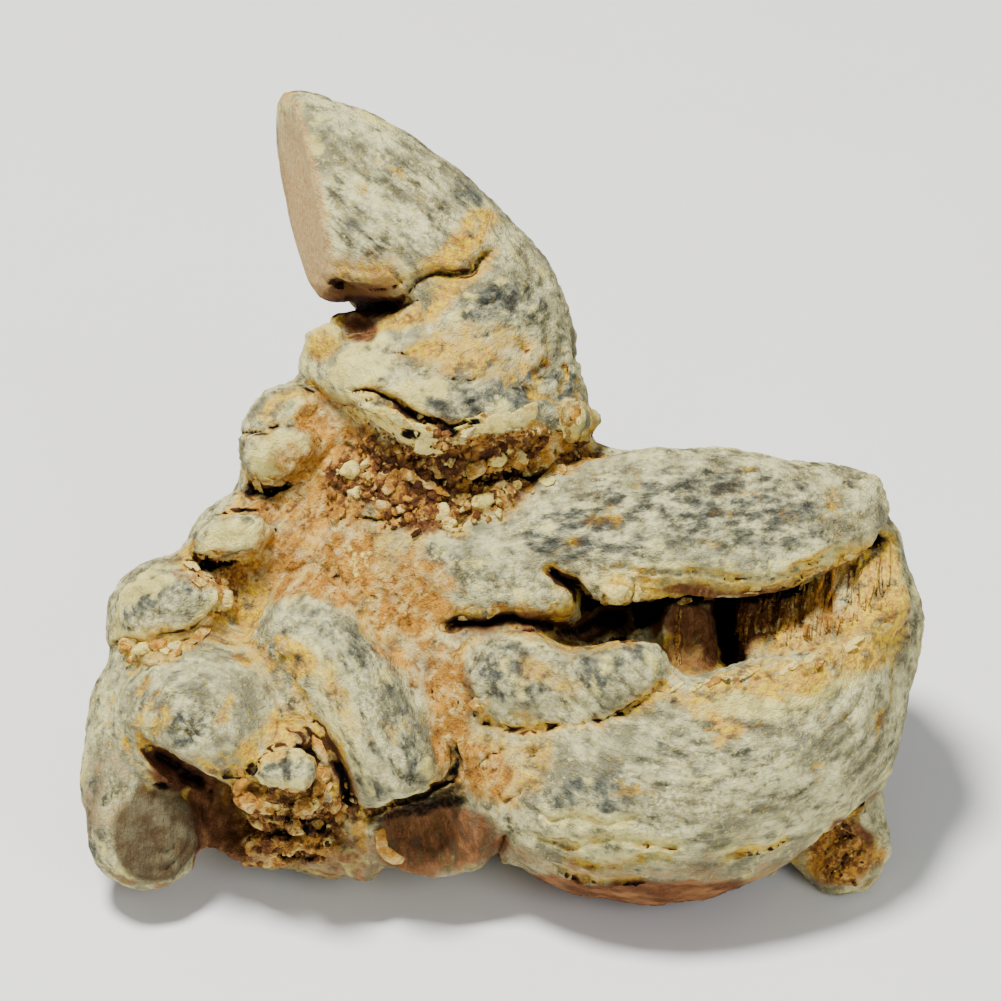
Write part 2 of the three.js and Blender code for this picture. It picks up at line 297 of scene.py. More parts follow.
class Face:
    """Heights, stains and painted shade drawn on the front of the root. Marks are made in mm on the face
    plane.
    """

    def __init__(self, field):
        u, v = np.meshgrid(*field.places[:2], indexing="ij")
        flat = np.stack([u.ravel(), v.ravel(), 0 * u.ravel()], -1)
        shift = [sum(far * noise(flat, size, salt) for far, size in WANDERS) for salt in (31, 32)]
        self.u = u + shift[0].reshape(u.shape)
        self.v = v + shift[1].reshape(u.shape)
        self.height = np.zeros(u.shape)
        self.stain = {name: np.zeros(u.shape) for name in STAINS}

    def along(self, points):
        """Distance from a curve, the share of its length at the nearest place, and the side (+ is left)."""
        line = through(points)
        lengths = np.linalg.norm(np.diff(line, axis=0), axis=1)
        starts = np.concatenate([[0], np.cumsum(lengths)])
        best = np.full(self.u.shape, FAR_OFF)
        share, side = np.zeros((2, *self.u.shape))
        for a, b, start, length in zip(line[:-1], line[1:], starts, lengths):
            ab = (b - a) / length
            t = np.clip((self.u - a[0]) * ab[0] + (self.v - a[1]) * ab[1], 0, length)
            du, dv = self.u - a[0] - t * ab[0], self.v - a[1] - t * ab[1]
            d = np.hypot(du, dv)
            nearer = d < best
            best = np.where(nearer, d, best)
            share = np.where(nearer, (start + t) / starts[-1], share)
            side = np.where(nearer, np.sign(ab[0] * dv - ab[1] * du), side)
        return best, share, side

    def within(self, outline):
        """Signed distance from a closed outline, negative inside."""
        line = through([*outline, outline[0]], 4)
        best = np.full(self.u.shape, FAR_OFF)
        inside = np.zeros(self.u.shape, bool)
        for a, b in zip(line[:-1], line[1:]):
            ab = b - a
            t = np.clip(((self.u - a[0]) * ab[0] + (self.v - a[1]) * ab[1]) / ab.dot(ab), 0, 1)
            best = np.minimum(best, np.hypot(self.u - a[0] - t * ab[0], self.v - a[1] - t * ab[1]))
            crosses = (a[1] > self.v) != (b[1] > self.v)
            rise = ab[1] if abs(ab[1]) > 1e-9 else 1e-9
            inside ^= crosses & (self.u < a[0] + (self.v - a[1]) * ab[0] / rise)
        return np.where(inside, -best, best)

    def mark(self, name, amount):
        """Stains what isn't yet stained as much."""
        if name:
            self.stain[name] = np.maximum(self.stain[name], amount)

    def groove(self, points, depth, width, rim=0.0, stain="ochre", dark=1.0):
        """A crack: depth deep, width wide at half depth, tapering out at both ends."""
        d, share, _ = self.along(points)
        taper = np.clip(4 * np.minimum(share, 1 - share) + 0.25, 0, 1)
        self.height -= depth * taper * np.exp(-0.7 * (2 * d / width) ** 2)
        self.height += rim * taper * bell((d - 1.25 * width) / (0.6 * width))
        # painted shade down the middle of the crack
        self.mark("black", dark * taper * bell(2 * d / width))
        self.mark(stain, 0.8 * taper * bell(d / (1.4 * width + 0.3)))

    def lip(self, points, height, fade, edge=0.14, stain="cream"):
        """A broken edge of bark: raised on the left of the line, falling off over fade."""
        d, share, side = self.along(points)
        taper = np.clip(5 * np.minimum(share, 1 - share), 0, 1)
        signed = d * side
        self.height += height * taper * smoothstep(-edge, edge, signed) * bell(d / fade)
        # painted shadow at the foot of the edge, and its stain along the raised side, which in cream is
        # partly a painted highlight
        self.mark("black", 0.8 * taper * smoothstep(0, -0.15, signed) * bell(d / 0.3))
        self.mark(stain, taper * smoothstep(-edge, edge, signed) * bell(d / 0.5))

    def plate(self, outline, height, stain=None, top=None, dark=0.7):
        """A patch of bark that stands proud, with a dark line round it: stain is its edge's colour."""
        d = self.within(outline)
        self.height += height * smoothstep(0.16, -0.16, d)
        # painted shadow in a line round the plate's foot
        self.mark("black", dark * bell((d - 0.22) / 0.16))
        self.mark(stain, 0.9 * bell((d + 0.25) / 0.35))
        self.mark(top, smoothstep(0.1, -0.5, d))

    def patch(self, name, outline, soft=1.0, amount=1.0):
        """A stain that fills an outline."""
        self.mark(name, amount * smoothstep(soft, -soft, self.within(outline)))

    def pit(self, centre, size, depth, dark=1.0):
        """A dent with a dark middle."""
        d = np.hypot((self.u - centre[0]) / size[0], (self.v - centre[1]) / size[1])
        self.height -= depth * bell(d)
        # the dent's dark middle is partly painted shade
        self.mark("black", dark * bell(d))


# ---- The root's marks, region by region: places are (u, v) on the face plane ----
def draw_head(face):
    face.groove([(-11.4, 12.2), (-9.4, 12.6), (-7.6, 12.3), (-5.6, 12.5)], 2.4, 0.7, stain="rust")
    face.groove([(-6.2, 12.8), (-4.2, 13.9), (-2.2, 14.5), (0.4, 16)], 0.5, 0.5, rim=0.1)
    face.groove([(-12, 14), (-10, 13.6), (-8, 13.5), (-5, 13.9)], 0.28, 0.3, rim=0.1, dark=0.6)
    face.groove([(-11.6, 15), (-9.4, 14.5), (-7, 14.4)], 0.16, 0.3, rim=0.06, dark=0.3)
    for v, rise in ((18.6, 0.9), (20.6, 1.4), (22.6, 1.2)):
        face.groove([(-11, v), (-8, v - rise), (-4, v - 2.6 * rise)], 0.1, 0.5, stain=None, dark=0.25)
    face.patch("ochre", [(-5, 14), (-3.4, 16.6), (-0.8, 18.6), (0.2, 17.6), (-1.6, 15.4), (-3.6, 14.2)], 0.6)
    face.patch("slate", [(-11, 18.2), (-8.6, 17.4), (-7, 15.6), (-5.4, 15), (-6.4, 14.4), (-9, 15.2)],
               0.7, 0.7)


def draw_collar(face):
    # oblique folds of the neck's bark, and upright lines at its right
    for points, depth in (
        ([(-3.8, 11.4), (-2.2, 12.6), (-0.6, 12.2), (0.6, 13)], 0.26),
        ([(0.9, 12), (2, 12.7), (3.4, 13.8)], 0.2),
        ([(-7.2, 9.4), (-5.4, 8.9), (-3.4, 9.5), (-1.8, 8.9)], 0.24),
        ([(-5.8, 7.9), (-4.2, 8.1), (-2.4, 7.4), (-0.6, 7.9)], 0.3),
        ([(1.4, 11.6), (1.8, 10), (1.5, 8.2)], 0.2),
        ([(2.8, 11.2), (3, 9.4), (2.7, 7.8)], 0.22),
        ([(4, 10.4), (4.2, 8.8), (4, 6.6)], 0.22),
    ):
        face.groove(points, depth, 0.36, rim=0.1, stain=None, dark=0.4)
    face.plate([(-3.4, 12.2), (-1.6, 13.4), (1.4, 13.6), (3.4, 12.4), (2, 11.2), (-1.4, 11)],
               0.16, top="slate", dark=0.25)
    face.patch("ochre", [(-8.8, 11), (-6, 12), (-3.8, 13.6), (-1, 15.4), (0.6, 16), (-0.6, 14.4),
                         (-3.6, 11.8), (-5, 10.6)], 0.5)
    face.patch("ochre", [(-6.6, 9), (-4, 10.2), (-1.4, 10.4), (0.2, 9.4), (-0.4, 7.8), (-3, 8.2)], 0.5)
    face.patch("rust", [(-10.4, 11.6), (-8.8, 12), (-7.4, 11.2), (-8, 10), (-9.6, 10.4)], 0.5)
    face.pit((-8.7, 11.1), (1.5, 0.8), 0.6, 0.6)
    # painted shadow under the flake that hangs from the collar
    face.patch("black", [(-8, 3.6), (-5, 2.4), (-2, 3), (1, 3.6), (0.6, 2), (-4, 0.8), (-7.4, 1.8)],
               0.7, 0.55)
    face.patch("ochre", [(-12.4, 10.2), (-11.4, 11.2), (-10.2, 10.4), (-10.6, 9.2), (-11.8, 9)], 0.5)
    face.patch("cream", [(-11.6, 9), (-9, 8.4), (-6.6, 7.6), (-7.6, 6.9), (-10.8, 7.4)], 0.4, 0.8)


def draw_undercut(face):
    # the crack under the collar, and the flake that hangs below it
    face.groove([(-9.4, 6.9), (-7.4, 6.5), (-5.4, 5.4), (-3.6, 4.8), (-2.2, 5.2)], 1.4, 0.4, rim=0.15)
    face.plate([(-8.8, 5.8), (-6.8, 5.5), (-5.2, 4.6), (-3.4, 4.2), (-1.4, 4.8), (-2.6, 3.4), (-4.6, 2.7),
                (-6.6, 3.8)], 0.8, top="cream")
    face.lip([(3.4, 4.2), (0.6, 4.1), (-1.6, 3.7)], 0.4, 1)
    for centre, size in (((1.6, 7), (1.1, 0.5)), ((-3.1, 4), (0.75, 0.5)), ((-5.6, 4.1), (0.5, 0.3)),
                         ((-1.9, 6.3), (0.5, 0.35)), ((2.8, 7.6), (0.5, 0.3))):
        face.pit(centre, size, 0.12, 0.85)
    face.patch("slate", [(-6, 6.8), (-4.6, 7.6), (-1.6, 7.2), (1.6, 8.2), (5, 8.2), (4.6, 6.2), (0, 5.4),
                         (-4, 5.2)], 0.4)
    face.plate([(3.4, 5.9), (5, 6.8), (6.2, 5.2), (5.4, 3.8), (3.6, 4.4)], 0.3, stain="ochre")
    face.patch("rust", [(-6.4, 3.2), (-3.6, 2.4), (0, 3.6), (4, 4), (4.4, 2.6), (0.6, 1.4), (-3.6, 0.6),
                        (-7, 1.6)], 0.5)


def draw_bosses(face):
    # the crusts of the two bosses, broken along their lower edges
    face.plate([(-16.4, 3), (-15.3, 4.3), (-13.4, 4.8), (-11.8, 4.4), (-11.8, 3), (-13.2, 1.8), (-14.4, 1.1),
                (-15.9, 1.5)], 0.55, top="cream")
    face.groove([(-16.4, 4.5), (-15, 4.3), (-13.8, 5.1)], 0.5, 0.25)
    face.plate([(-15.6, 5.6), (-13.6, 6.8), (-12, 6.6), (-12.4, 5.4), (-14.4, 4.9)], 0.3, stain="ochre")
    face.groove([(-16, 0.9), (-14.6, 0.4), (-13, 1.2)], 0.9, 0.4, stain="rust")
    face.plate([(-19.6, -3.1), (-18.3, -1.2), (-16.1, -0.8), (-14.6, -1.8), (-14.9, -3.3), (-16.6, -3.4),
                (-18, -3.9)], 0.55, top="cream")
    face.groove([(-18, -0.9), (-16.4, -0.5), (-15, -0.7)], 0.4, 0.25, dark=0.6)
    face.groove([(-19.8, -3.9), (-18.2, -4.3), (-16.6, -3.9)], 0.7, 0.35, stain="rust")


def draw_grey_boss(face):
    # the grey boss, its cap edged with flakes
    face.plate([(-24.6, -9), (-24.4, -6.6), (-22.8, -4.7), (-20.6, -4), (-18.4, -4.9), (-17.8, -6.6),
                (-19.4, -8.4), (-21.6, -8.8), (-23.4, -8.8)], 0.4, stain="cream")
    face.patch("slate", [(-24.6, -8), (-23.6, -5.6), (-20.4, -4.4), (-19, -6), (-21, -8), (-23, -8)],
               0.8, 0.8)
    face.plate([(-23.6, -9.2), (-22, -8.9), (-21.4, -9.7), (-22.6, -10.2)], 0.3, stain="ochre", top="cream")
    face.plate([(-21, -9), (-19.6, -8.9), (-19.8, -9.6), (-20.8, -9.7)], 0.3, top="cream")
    face.plate([(-18.2, -5.8), (-17, -5.7), (-16.8, -6.6), (-17.8, -6.9)], 0.4, top="cream")
    face.groove([(-24, -9.2), (-22, -8.6), (-19.8, -8.5), (-18, -7.4)], 0.3, 0.3, dark=0.6)
    face.patch("ochre", [(-24.2, -8.8), (-22, -8.4), (-19.6, -8.4), (-19, -9.4), (-21.4, -10.2),
                         (-23.8, -10)], 0.4)


def draw_knuckle(face):
    # the knuckle: rings of wrinkles, a dark scar, and the slit below
    for size, depth in ((1.5, 0.1), (2.5, 0.13), (3.5, 0.12), (4.5, 0.14), (5.5, 0.1)):
        ring = arc((-19.2, -14.2), size, 0.86, np.arange(-20, 175, 30) + 23 * size)
        face.groove(ring, depth, 0.4, rim=0.04, stain=None, dark=0.3)
    face.patch("slate", [(-21.2, -14.9), (-20.6, -13), (-18.6, -12.5), (-18.2, -13.8), (-19.8, -15.2)], 0.4)
    face.pit((-19.6, -14.2), (0.5, 0.6), 0.25, 0.8)
    face.pit((-18.7, -13), (0.5, 0.25), 0.2, 0.7)
    face.patch("slate", [(-22.4, -12.2), (-21, -11.2), (-19.4, -11.6), (-20.6, -12.4)], 0.5, 0.7)
    face.pit((-16, -12.3), (0.3, 0.25), 0.15)
    face.pit((-17.4, -13.8), (0.3, 0.4), 0.15)
    face.patch("ochre", [(-22.4, -14), (-21.4, -12.8), (-20.8, -13.6), (-21.6, -14.9)], 0.4)
    face.patch("ochre", [(-17.9, -14), (-17, -12.4), (-16.4, -12.6), (-17.2, -14.4)], 0.3)
    face.patch("ochre", [(-15.8, -15.4), (-13.6, -12.4), (-12.2, -14.4), (-13, -16.2), (-15, -16.6)], 0.6)
    face.groove([(-22.6, -15.4), (-21.4, -16.1), (-20, -17), (-18.6, -18.4)],
                1.2, 0.6, stain="rust", dark=0.8)
    face.groove([(-21.2, -15.7), (-19.6, -16.6), (-17.8, -18.2)], 0.3, 0.35, rim=0.1, stain="rust", dark=0.6)
    for k in range(3):
        face.groove([(-18.6 + k, -16.2 - 0.1 * k), (-17.4 + k, -16.9), (-16.4 + k, -16.7)],
                    0.24, 0.3, rim=0.1, dark=0.6)


def draw_hanging_rootlet(face):
    # old marks on the hanging rootlet's cut face
    for size in (0.9, 1.7, 2.4):
        ring = arc((-21.4, -21), size, 1.2, np.arange(200, 380, 30) + 30 * size)
        face.groove(ring, 0.2, 0.44, rim=0.12, stain=None, dark=0.75)
    face.patch("black", [(-23, -18.8), (-21, -18.2), (-19.4, -19), (-19.6, -20.4), (-21.6, -19.8)], 0.7, 0.5)


def draw_bead(face):
    # the bead on its crust
    face.patch("slate", [(-14.9, -17.2), (-14, -16.3), (-12.4, -16.2), (-12.2, -17), (-13.4, -17.4)],
               0.4, 1.2)
    face.patch("cream", [(-15.8, -17), (-15, -18.1), (-13.2, -18.4), (-11.6, -17.8), (-12, -17.5),
                         (-13.6, -17.8), (-15, -17.4)], 0.3)
    face.patch("rust", [(-18.8, -18.4), (-16.2, -18.4), (-15, -20.2), (-16.8, -22.8), (-19, -22.4)], 0.5)
    # painted shade in the hollow left of the bead
    face.patch("black", [(-18.8, -18.8), (-16.8, -18.6), (-16, -20.4), (-17.4, -21.4), (-18.8, -21)],
               0.6, 0.45)
    face.patch("rust", [(-15, -20.6), (-11, -19.8), (-8.8, -20.8), (-8.4, -23), (-15.6, -22.8)], 1, 0.7)
    for a, b in (((-16.4, -20.6), (-13, -21)), ((-12.6, -20.2), (-10, -21.4)), ((-14, -22.2), (-11, -22.6)),
                 ((-13.6, -19.6), (-11.4, -20.2))):
        face.groove([a, ((a[0] + b[0]) / 2, a[1] - 0.5), b], 0.4, 0.45, rim=0.2, stain="rust", dark=0.7)
    face.groove([(-10.6, -15.6), (-9.9, -17.6), (-9.3, -19.6)], 1, 0.45, stain="rust", dark=0.8)


def draw_finger(face):
    face.groove([(-13, -11.4), (-12.4, -12.8), (-11, -15.2)], 0.25, 0.3, rim=0.08, dark=0.7)
    face.patch("slate", [(-11.8, -5.8), (-9.4, -7), (-6.6, -9.6), (-5, -13.4), (-4.4, -17), (-6.4, -17.2),
                         (-8, -13.6), (-9.6, -10), (-12, -7.6)], 0.9, 0.7)
    face.patch("cream", [(-13.8, -8), (-11.6, -8.4), (-9.6, -13), (-8, -18), (-9.8, -17), (-12.4, -11.6)],
               0.5, 0.6)
    face.patch("ochre", [(-14.6, -8.4), (-13, -8.5), (-11.7, -10.2), (-12.6, -11.2), (-14.2, -9.8)],
               0.3, 1.5)
    face.plate([(-13.9, -8.7), (-13.2, -8.6), (-12.9, -9.4), (-13.5, -9.8)], 0.3, stain="ochre")
    face.groove([(-11.8, -9.4), (-10.2, -12.2), (-8.7, -15.6)], 0.14, 0.5, dark=0.2)


def draw_finger_end(face):
    # the broken end: a thin lip over a brown hollow
    lip = [(-2.4, -17.4), (-4.2, -17.9), (-6.4, -18.9), (-8.6, -20)]
    face.lip(lip, 0.5, 0.8, edge=0.1)
    face.pit((-5, -17.2), (0.9, 0.35), 0.35, 0.8)
    face.pit((-6.3, -16.7), (0.5, 0.4), 0.2, 0.5)
    face.groove([(-3.6, -17.6), (-3, -16.2), (-3.6, -14.6)], 0.4, 0.4)
    # painted shadow under the broken lip
    face.patch("black", [*lip, (-8.2, -20.6), (-5, -19.6), (-2.6, -18.4)], 0.5, 0.8)
    face.groove([(0.2, -21), (-0.3, -22.2), (-0.5, -23.4)], 0.7, 0.4, stain="rust", dark=0.8)
    face.pit((-3.9, -21.6), (0.3, 0.25), 0.2, 0.6)


def draw_tan_wood(face):
    # tan wood, in fibres, between the finger and the great lobe
    face.patch("ochre", [(-4.4, -8.4), (-2.6, -9), (-2.4, -12.6), (0.6, -14.6), (3.4, -15), (1.6, -18.8),
                         (-1.6, -19.4), (-3, -16.6)], 0.8, 0.8)
    for k in range(7):
        u = -3 + 0.75 * k
        face.groove([(u - 0.3, -14.2 - 0.2 * k), (u + 0.2, -16), (u - 0.2, -18 + 0.3 * k)],
                    0.18, 0.34, rim=0.1, dark=0.3)


def draw_middle(face):
    # the torn, granular bark between collar, shelf and finger
    face.patch("ochre", [(-15, -5.6), (-14, 0), (-10, 5), (-4, 2.2), (-4.6, -3), (-4, -8), (-8, -7)],
               1.2, 0.7)
    face.patch("cream", [(-10.6, 2.4), (-9.4, 3), (-8.2, 1.8), (-9, 0.8), (-10.2, 1.2)], 0.5, 0.7)
    face.patch("cream", [(-13.4, 2.2), (-12.4, 2.4), (-12, 1.2), (-13, 1)], 0.4, 0.7)
    face.patch("slate", [(-10, -4.4), (-9.4, -1.8), (-8, -1.6), (-7.8, -4)], 0.5, 0.8)
    face.groove([(-5.2, 2), (-3.2, 0.8), (-1.4, 1.3), (1, 1.6), (3.2, 2.4)], 1.2, 0.5, stain="rust")
    face.groove([(-9.6, -0.8), (-7.4, -1.2), (-5.4, -0.8), (-3.8, -1)], 0.5, 0.35)
    face.groove([(-11.6, 2), (-10, 3.4), (-8.2, 3)], 0.4, 0.45, dark=0.7)
    for points in (
        [(-13, -1.6), (-11, -2.8), (-9.8, -5.2)],
        [(-14.8, -5.2), (-12.4, -4), (-10.4, -4.4), (-8, -6.6)],
        [(-8.4, -5), (-6.6, -6.4), (-5.6, -9)],
        [(-4.8, -9.4), (-4, -11.8), (-3.2, -14)],
        [(-2.6, -9.6), (-2.8, -12.4), (-2.2, -14.8)],
    ):
        face.groove(points, 0.2, 0.4, rim=0.08, stain="rust", dark=0.3)


def draw_blade(face):
    top = [(-3.9, -0.9), (-1.2, 0.5), (1.6, 0.9), (3.6, 1.7)]
    face.groove([(u - 0.1, v + 0.35) for u, v in top], 1.1, 0.45, stain="rust")
    for v, depth in ((-0.9, 0.4), (-1.5, 0.3)):
        face.groove([(-4.6, v), (-3, v - 0.2), (-1.8, v + 0.2)], depth, 0.25)
    face.patch("ochre", [(-4.2, -0.2), (-1.6, 0.8), (4.6, 2.6), (2.4, 1.4), (-1, -0.2), (-3.8, -1.2)], 0.35)
    face.patch("cream", [(-4.4, -0.6), (-2, 0.2), (1, 0.6), (0.4, -0.6), (-3, -1.8)], 0.5, 0.8)


def draw_blade_rim(face):
    # the rim: the bark breaks off above layers of paler wood
    edge = [(5.2, -4.2), (7, -4.5), (9, -4.2), (12, -4.4), (14.6, -4.8), (17, -4.5), (19.6, -3.6), (22, -2.8),
            (24.2, -1.4)]
    face.lip(edge, 0.35, 1.4)
    face.groove([(u, v - 0.1) for u, v in edge], 0.2, 0.3, stain=None, dark=0.4)
    face.groove([(u, v - 0.8) for u, v in edge[1:-1]], 0.2, 0.3, rim=0.1, dark=0.6)
    face.groove([(u + 0.4, v - 1.25) for u, v in edge[2:-2]], 0.2, 0.25, stain="rust", dark=0.5)
    face.patch("cream", [(u, v - 0.1) for u, v in edge] + [(22, -3.6), (17, -6), (12, -6.2), (7, -6.4)],
               0.2, 0.8)
    face.patch("ochre", [(u, v - 0.9) for u, v in edge[1:-1]] + [(17, -6.4), (12, -6.6), (7, -6.8)],
               0.3, 0.7)
    face.patch("ochre", [(17.4, -4), (19.6, -3), (20.4, -3.2), (19.4, -4.2)], 0.3)
    face.plate([(6.2, -5.3), (8.1, -5.1), (8.4, -6.3), (6.6, -6.5)], 0.45, stain="ochre", top="cream")
    face.patch("slate", [(0.6, -2), (3, -0.4), (8, -0.6), (9.4, -2.4), (6.4, -4), (3, -3.4)], 0.8, 1)
    face.patch("slate", [(6.2, 0.6), (7.6, 1.4), (8, -0.6), (6.8, -1)], 0.4, 0.9)
    face.patch("slate", [(8, -1.8), (9, 1.8), (14, 2.6), (19, 1.6), (22, -0.4), (19, -3), (12, -3.6)],
               1.4, 0.8)


def draw_split(face):
    # the crack between shelf and nodule, its branch beside the blade, and the lobe's torn upper lip
    face.groove([(-3.8, -7.8), (-1.6, -8), (0.6, -7.5), (2.6, -7.3), (4.2, -8.2)], 1.5, 0.55, stain="rust")
    face.groove([(3.2, -7.9), (4.4, -8.3), (5.4, -8.2), (6.6, -7.5), (8.6, -7.3)], 2.4, 1.1, stain="rust")
    face.groove([(5.7, -7.4), (5.5, -6.2), (4.5, -5), (2.6, -4.1)], 2.4, 0.5)
    face.lip([(5.4, -7.4), (4.9, -6.3), (3.8, -5.2), (2.4, -4.5)], 0.3, 0.8)
    face.patch("slate", [(-5, -3), (-3, -2.4), (0.6, -4), (3.2, -5.2), (3.6, -6.6), (0, -6.4), (-2, -5.4)],
               1, 0.4)
    face.patch("ochre", [(-4, -6.2), (-0.6, -6.9), (3.6, -7), (3, -8), (-3, -7.8)], 0.5)
    lobe_lip = [(25.4, -7.2), (23.4, -8.2), (21.4, -8.9), (19.6, -9.9), (17, -10), (14.6, -10.4),
                (12.4, -11.2), (10.6, -12)]
    face.lip(lobe_lip, 0.3, 1.4, stain="ochre")
    for u, v in ((20.7, -5.4), (22.4, -4.9), (18.9, -6.4), (23.9, -4.4), (17.4, -7)):
        face.groove([(u, v + 1), (u + 0.1, v - 0.4), (u - 0.1, v - 1.8)], 0.4, 0.3, stain="rust", dark=0.8)
    face.patch("ochre", lobe_lip + [(11, -13), (15, -12.4), (19, -12), (23, -10.6), (25.8, -9.4)], 0.9, 1.1)
    face.patch("ochre", [(22.6, -4), (24.6, -1.6), (25.8, -4), (25.6, -8), (23.4, -8)], 0.6, 1)
    face.patch("cream", [(11.4, -12.4), (15, -11.4), (18, -11.2), (21, -10.6), (24, -9.4), (22, -12),
                         (18, -13.4), (13, -13.8)], 1, 0.9)


def draw_nodule(face):
    face.groove([(4.8, -13.9), (6.8, -13.7), (8.8, -12.9), (10.3, -11.9), (11, -10.8)], 0.45, 0.36, dark=0.7)
    face.groove([(-2.8, -11), (-1.9, -12.6), (0.2, -13.8), (2.6, -14), (5.2, -13.9)], 0.45, 0.35, dark=0.6)
    face.groove([(-2.6, -10.6), (-2.3, -9.4), (-1, -8.7)], 0.3, 0.3, dark=0.4)
    face.groove([(-1, -8.6), (1, -8.3), (2.8, -8.5), (4.2, -9.2), (5.6, -8.5), (7.6, -8), (9.8, -8.8)],
                0.35, 0.4, dark=0.4)
    face.patch("slate", [(-1.8, -10.6), (0, -9.2), (3.6, -9.6), (4.6, -10.6), (2, -12.6), (0, -12.4)], 0.5)
    face.patch("slate", [(4.8, -11.4), (5.6, -9.4), (8.4, -8.7), (9.8, -9.8), (7.4, -10.4), (6, -12.8)], 0.5)
    face.patch("ochre", [(3.6, -9.4), (6.4, -8), (9.4, -8.3), (8, -8.8), (5.4, -9.2)], 0.3)
    face.plate([(-2, -12.4), (-1, -12.3), (-0.9, -13.2), (-1.8, -13.2)], 0.45, stain="ochre", top="ochre")
    face.groove([(0.6, -11.4), (2.2, -10.6), (3.6, -11.3), (5.2, -11)], 0.16, 0.4, rim=0.06, dark=0.3)


def draw_great_lobe(face):
    for points in (
        [(1.4, -20.4), (4, -21.2), (7, -20.8), (10, -21.5), (12.4, -20.8)],
        [(3, -21.9), (6, -22.5), (9, -22.1), (12, -22.2)],
        [(1.6, -19), (3.4, -19.8), (6.4, -20), (9.4, -19.6)],
        [(2.8, -23.2), (6, -23.7), (9.6, -23.2)],
        [(13, -22.6), (16, -21.8), (18.6, -20.8)],
    ):
        face.groove(points, 0.22, 0.36, rim=0.16, stain="cream", dark=0.5)
    face.patch("slate", [(3, -18.4), (4.4, -17), (8, -16.8), (8.6, -18.4), (6, -19.4), (3.6, -19.6)], 0.6)
    face.patch("slate", [(8, -15), (12, -14.6), (15, -16.6), (13, -18.6), (9, -17.4)], 1.4, 0.5)
    face.patch("slate", [(20, -9.6), (23, -9), (22.6, -12), (20.6, -11.6)], 0.9, 0.5)
    # brown along the lobe's underside, partly painted shade
    face.patch("rust", [(0.6, -21.6), (5, -23), (12, -23.2), (18, -22), (22, -20.4), (16, -25.6), (6, -26)],
               1.4, 0.6)
    for u, v in ((-0.6, -16.2), (1.2, -18.2), (2.2, -15.6)):
        face.groove([(u - 1.2, v - 0.5), (u, v), (u + 1.2, v + 0.7)], 0.3, 0.3, rim=0.1, dark=0.6)


def draw_rear_rootlet(face):
    face.patch("rust", [(19.8, -21.6), (21.6, -20), (23.4, -20.8), (23, -24), (20.6, -24.4)], 0.6)
    face.groove([(20.6, -23), (21.6, -21.8), (23, -21.4)], 0.5, 0.35)
    face.groove([(21, -24.2), (22.2, -23), (22.8, -21.9)], 0.4, 0.3)


DRAWINGS = (
    draw_head, draw_collar, draw_undercut, draw_bosses, draw_grey_boss, draw_knuckle, draw_hanging_rootlet,
    draw_bead, draw_finger, draw_finger_end, draw_tan_wood, draw_middle, draw_blade, draw_blade_rim,
    draw_split, draw_nodule, draw_great_lobe, draw_rear_rootlet,
)


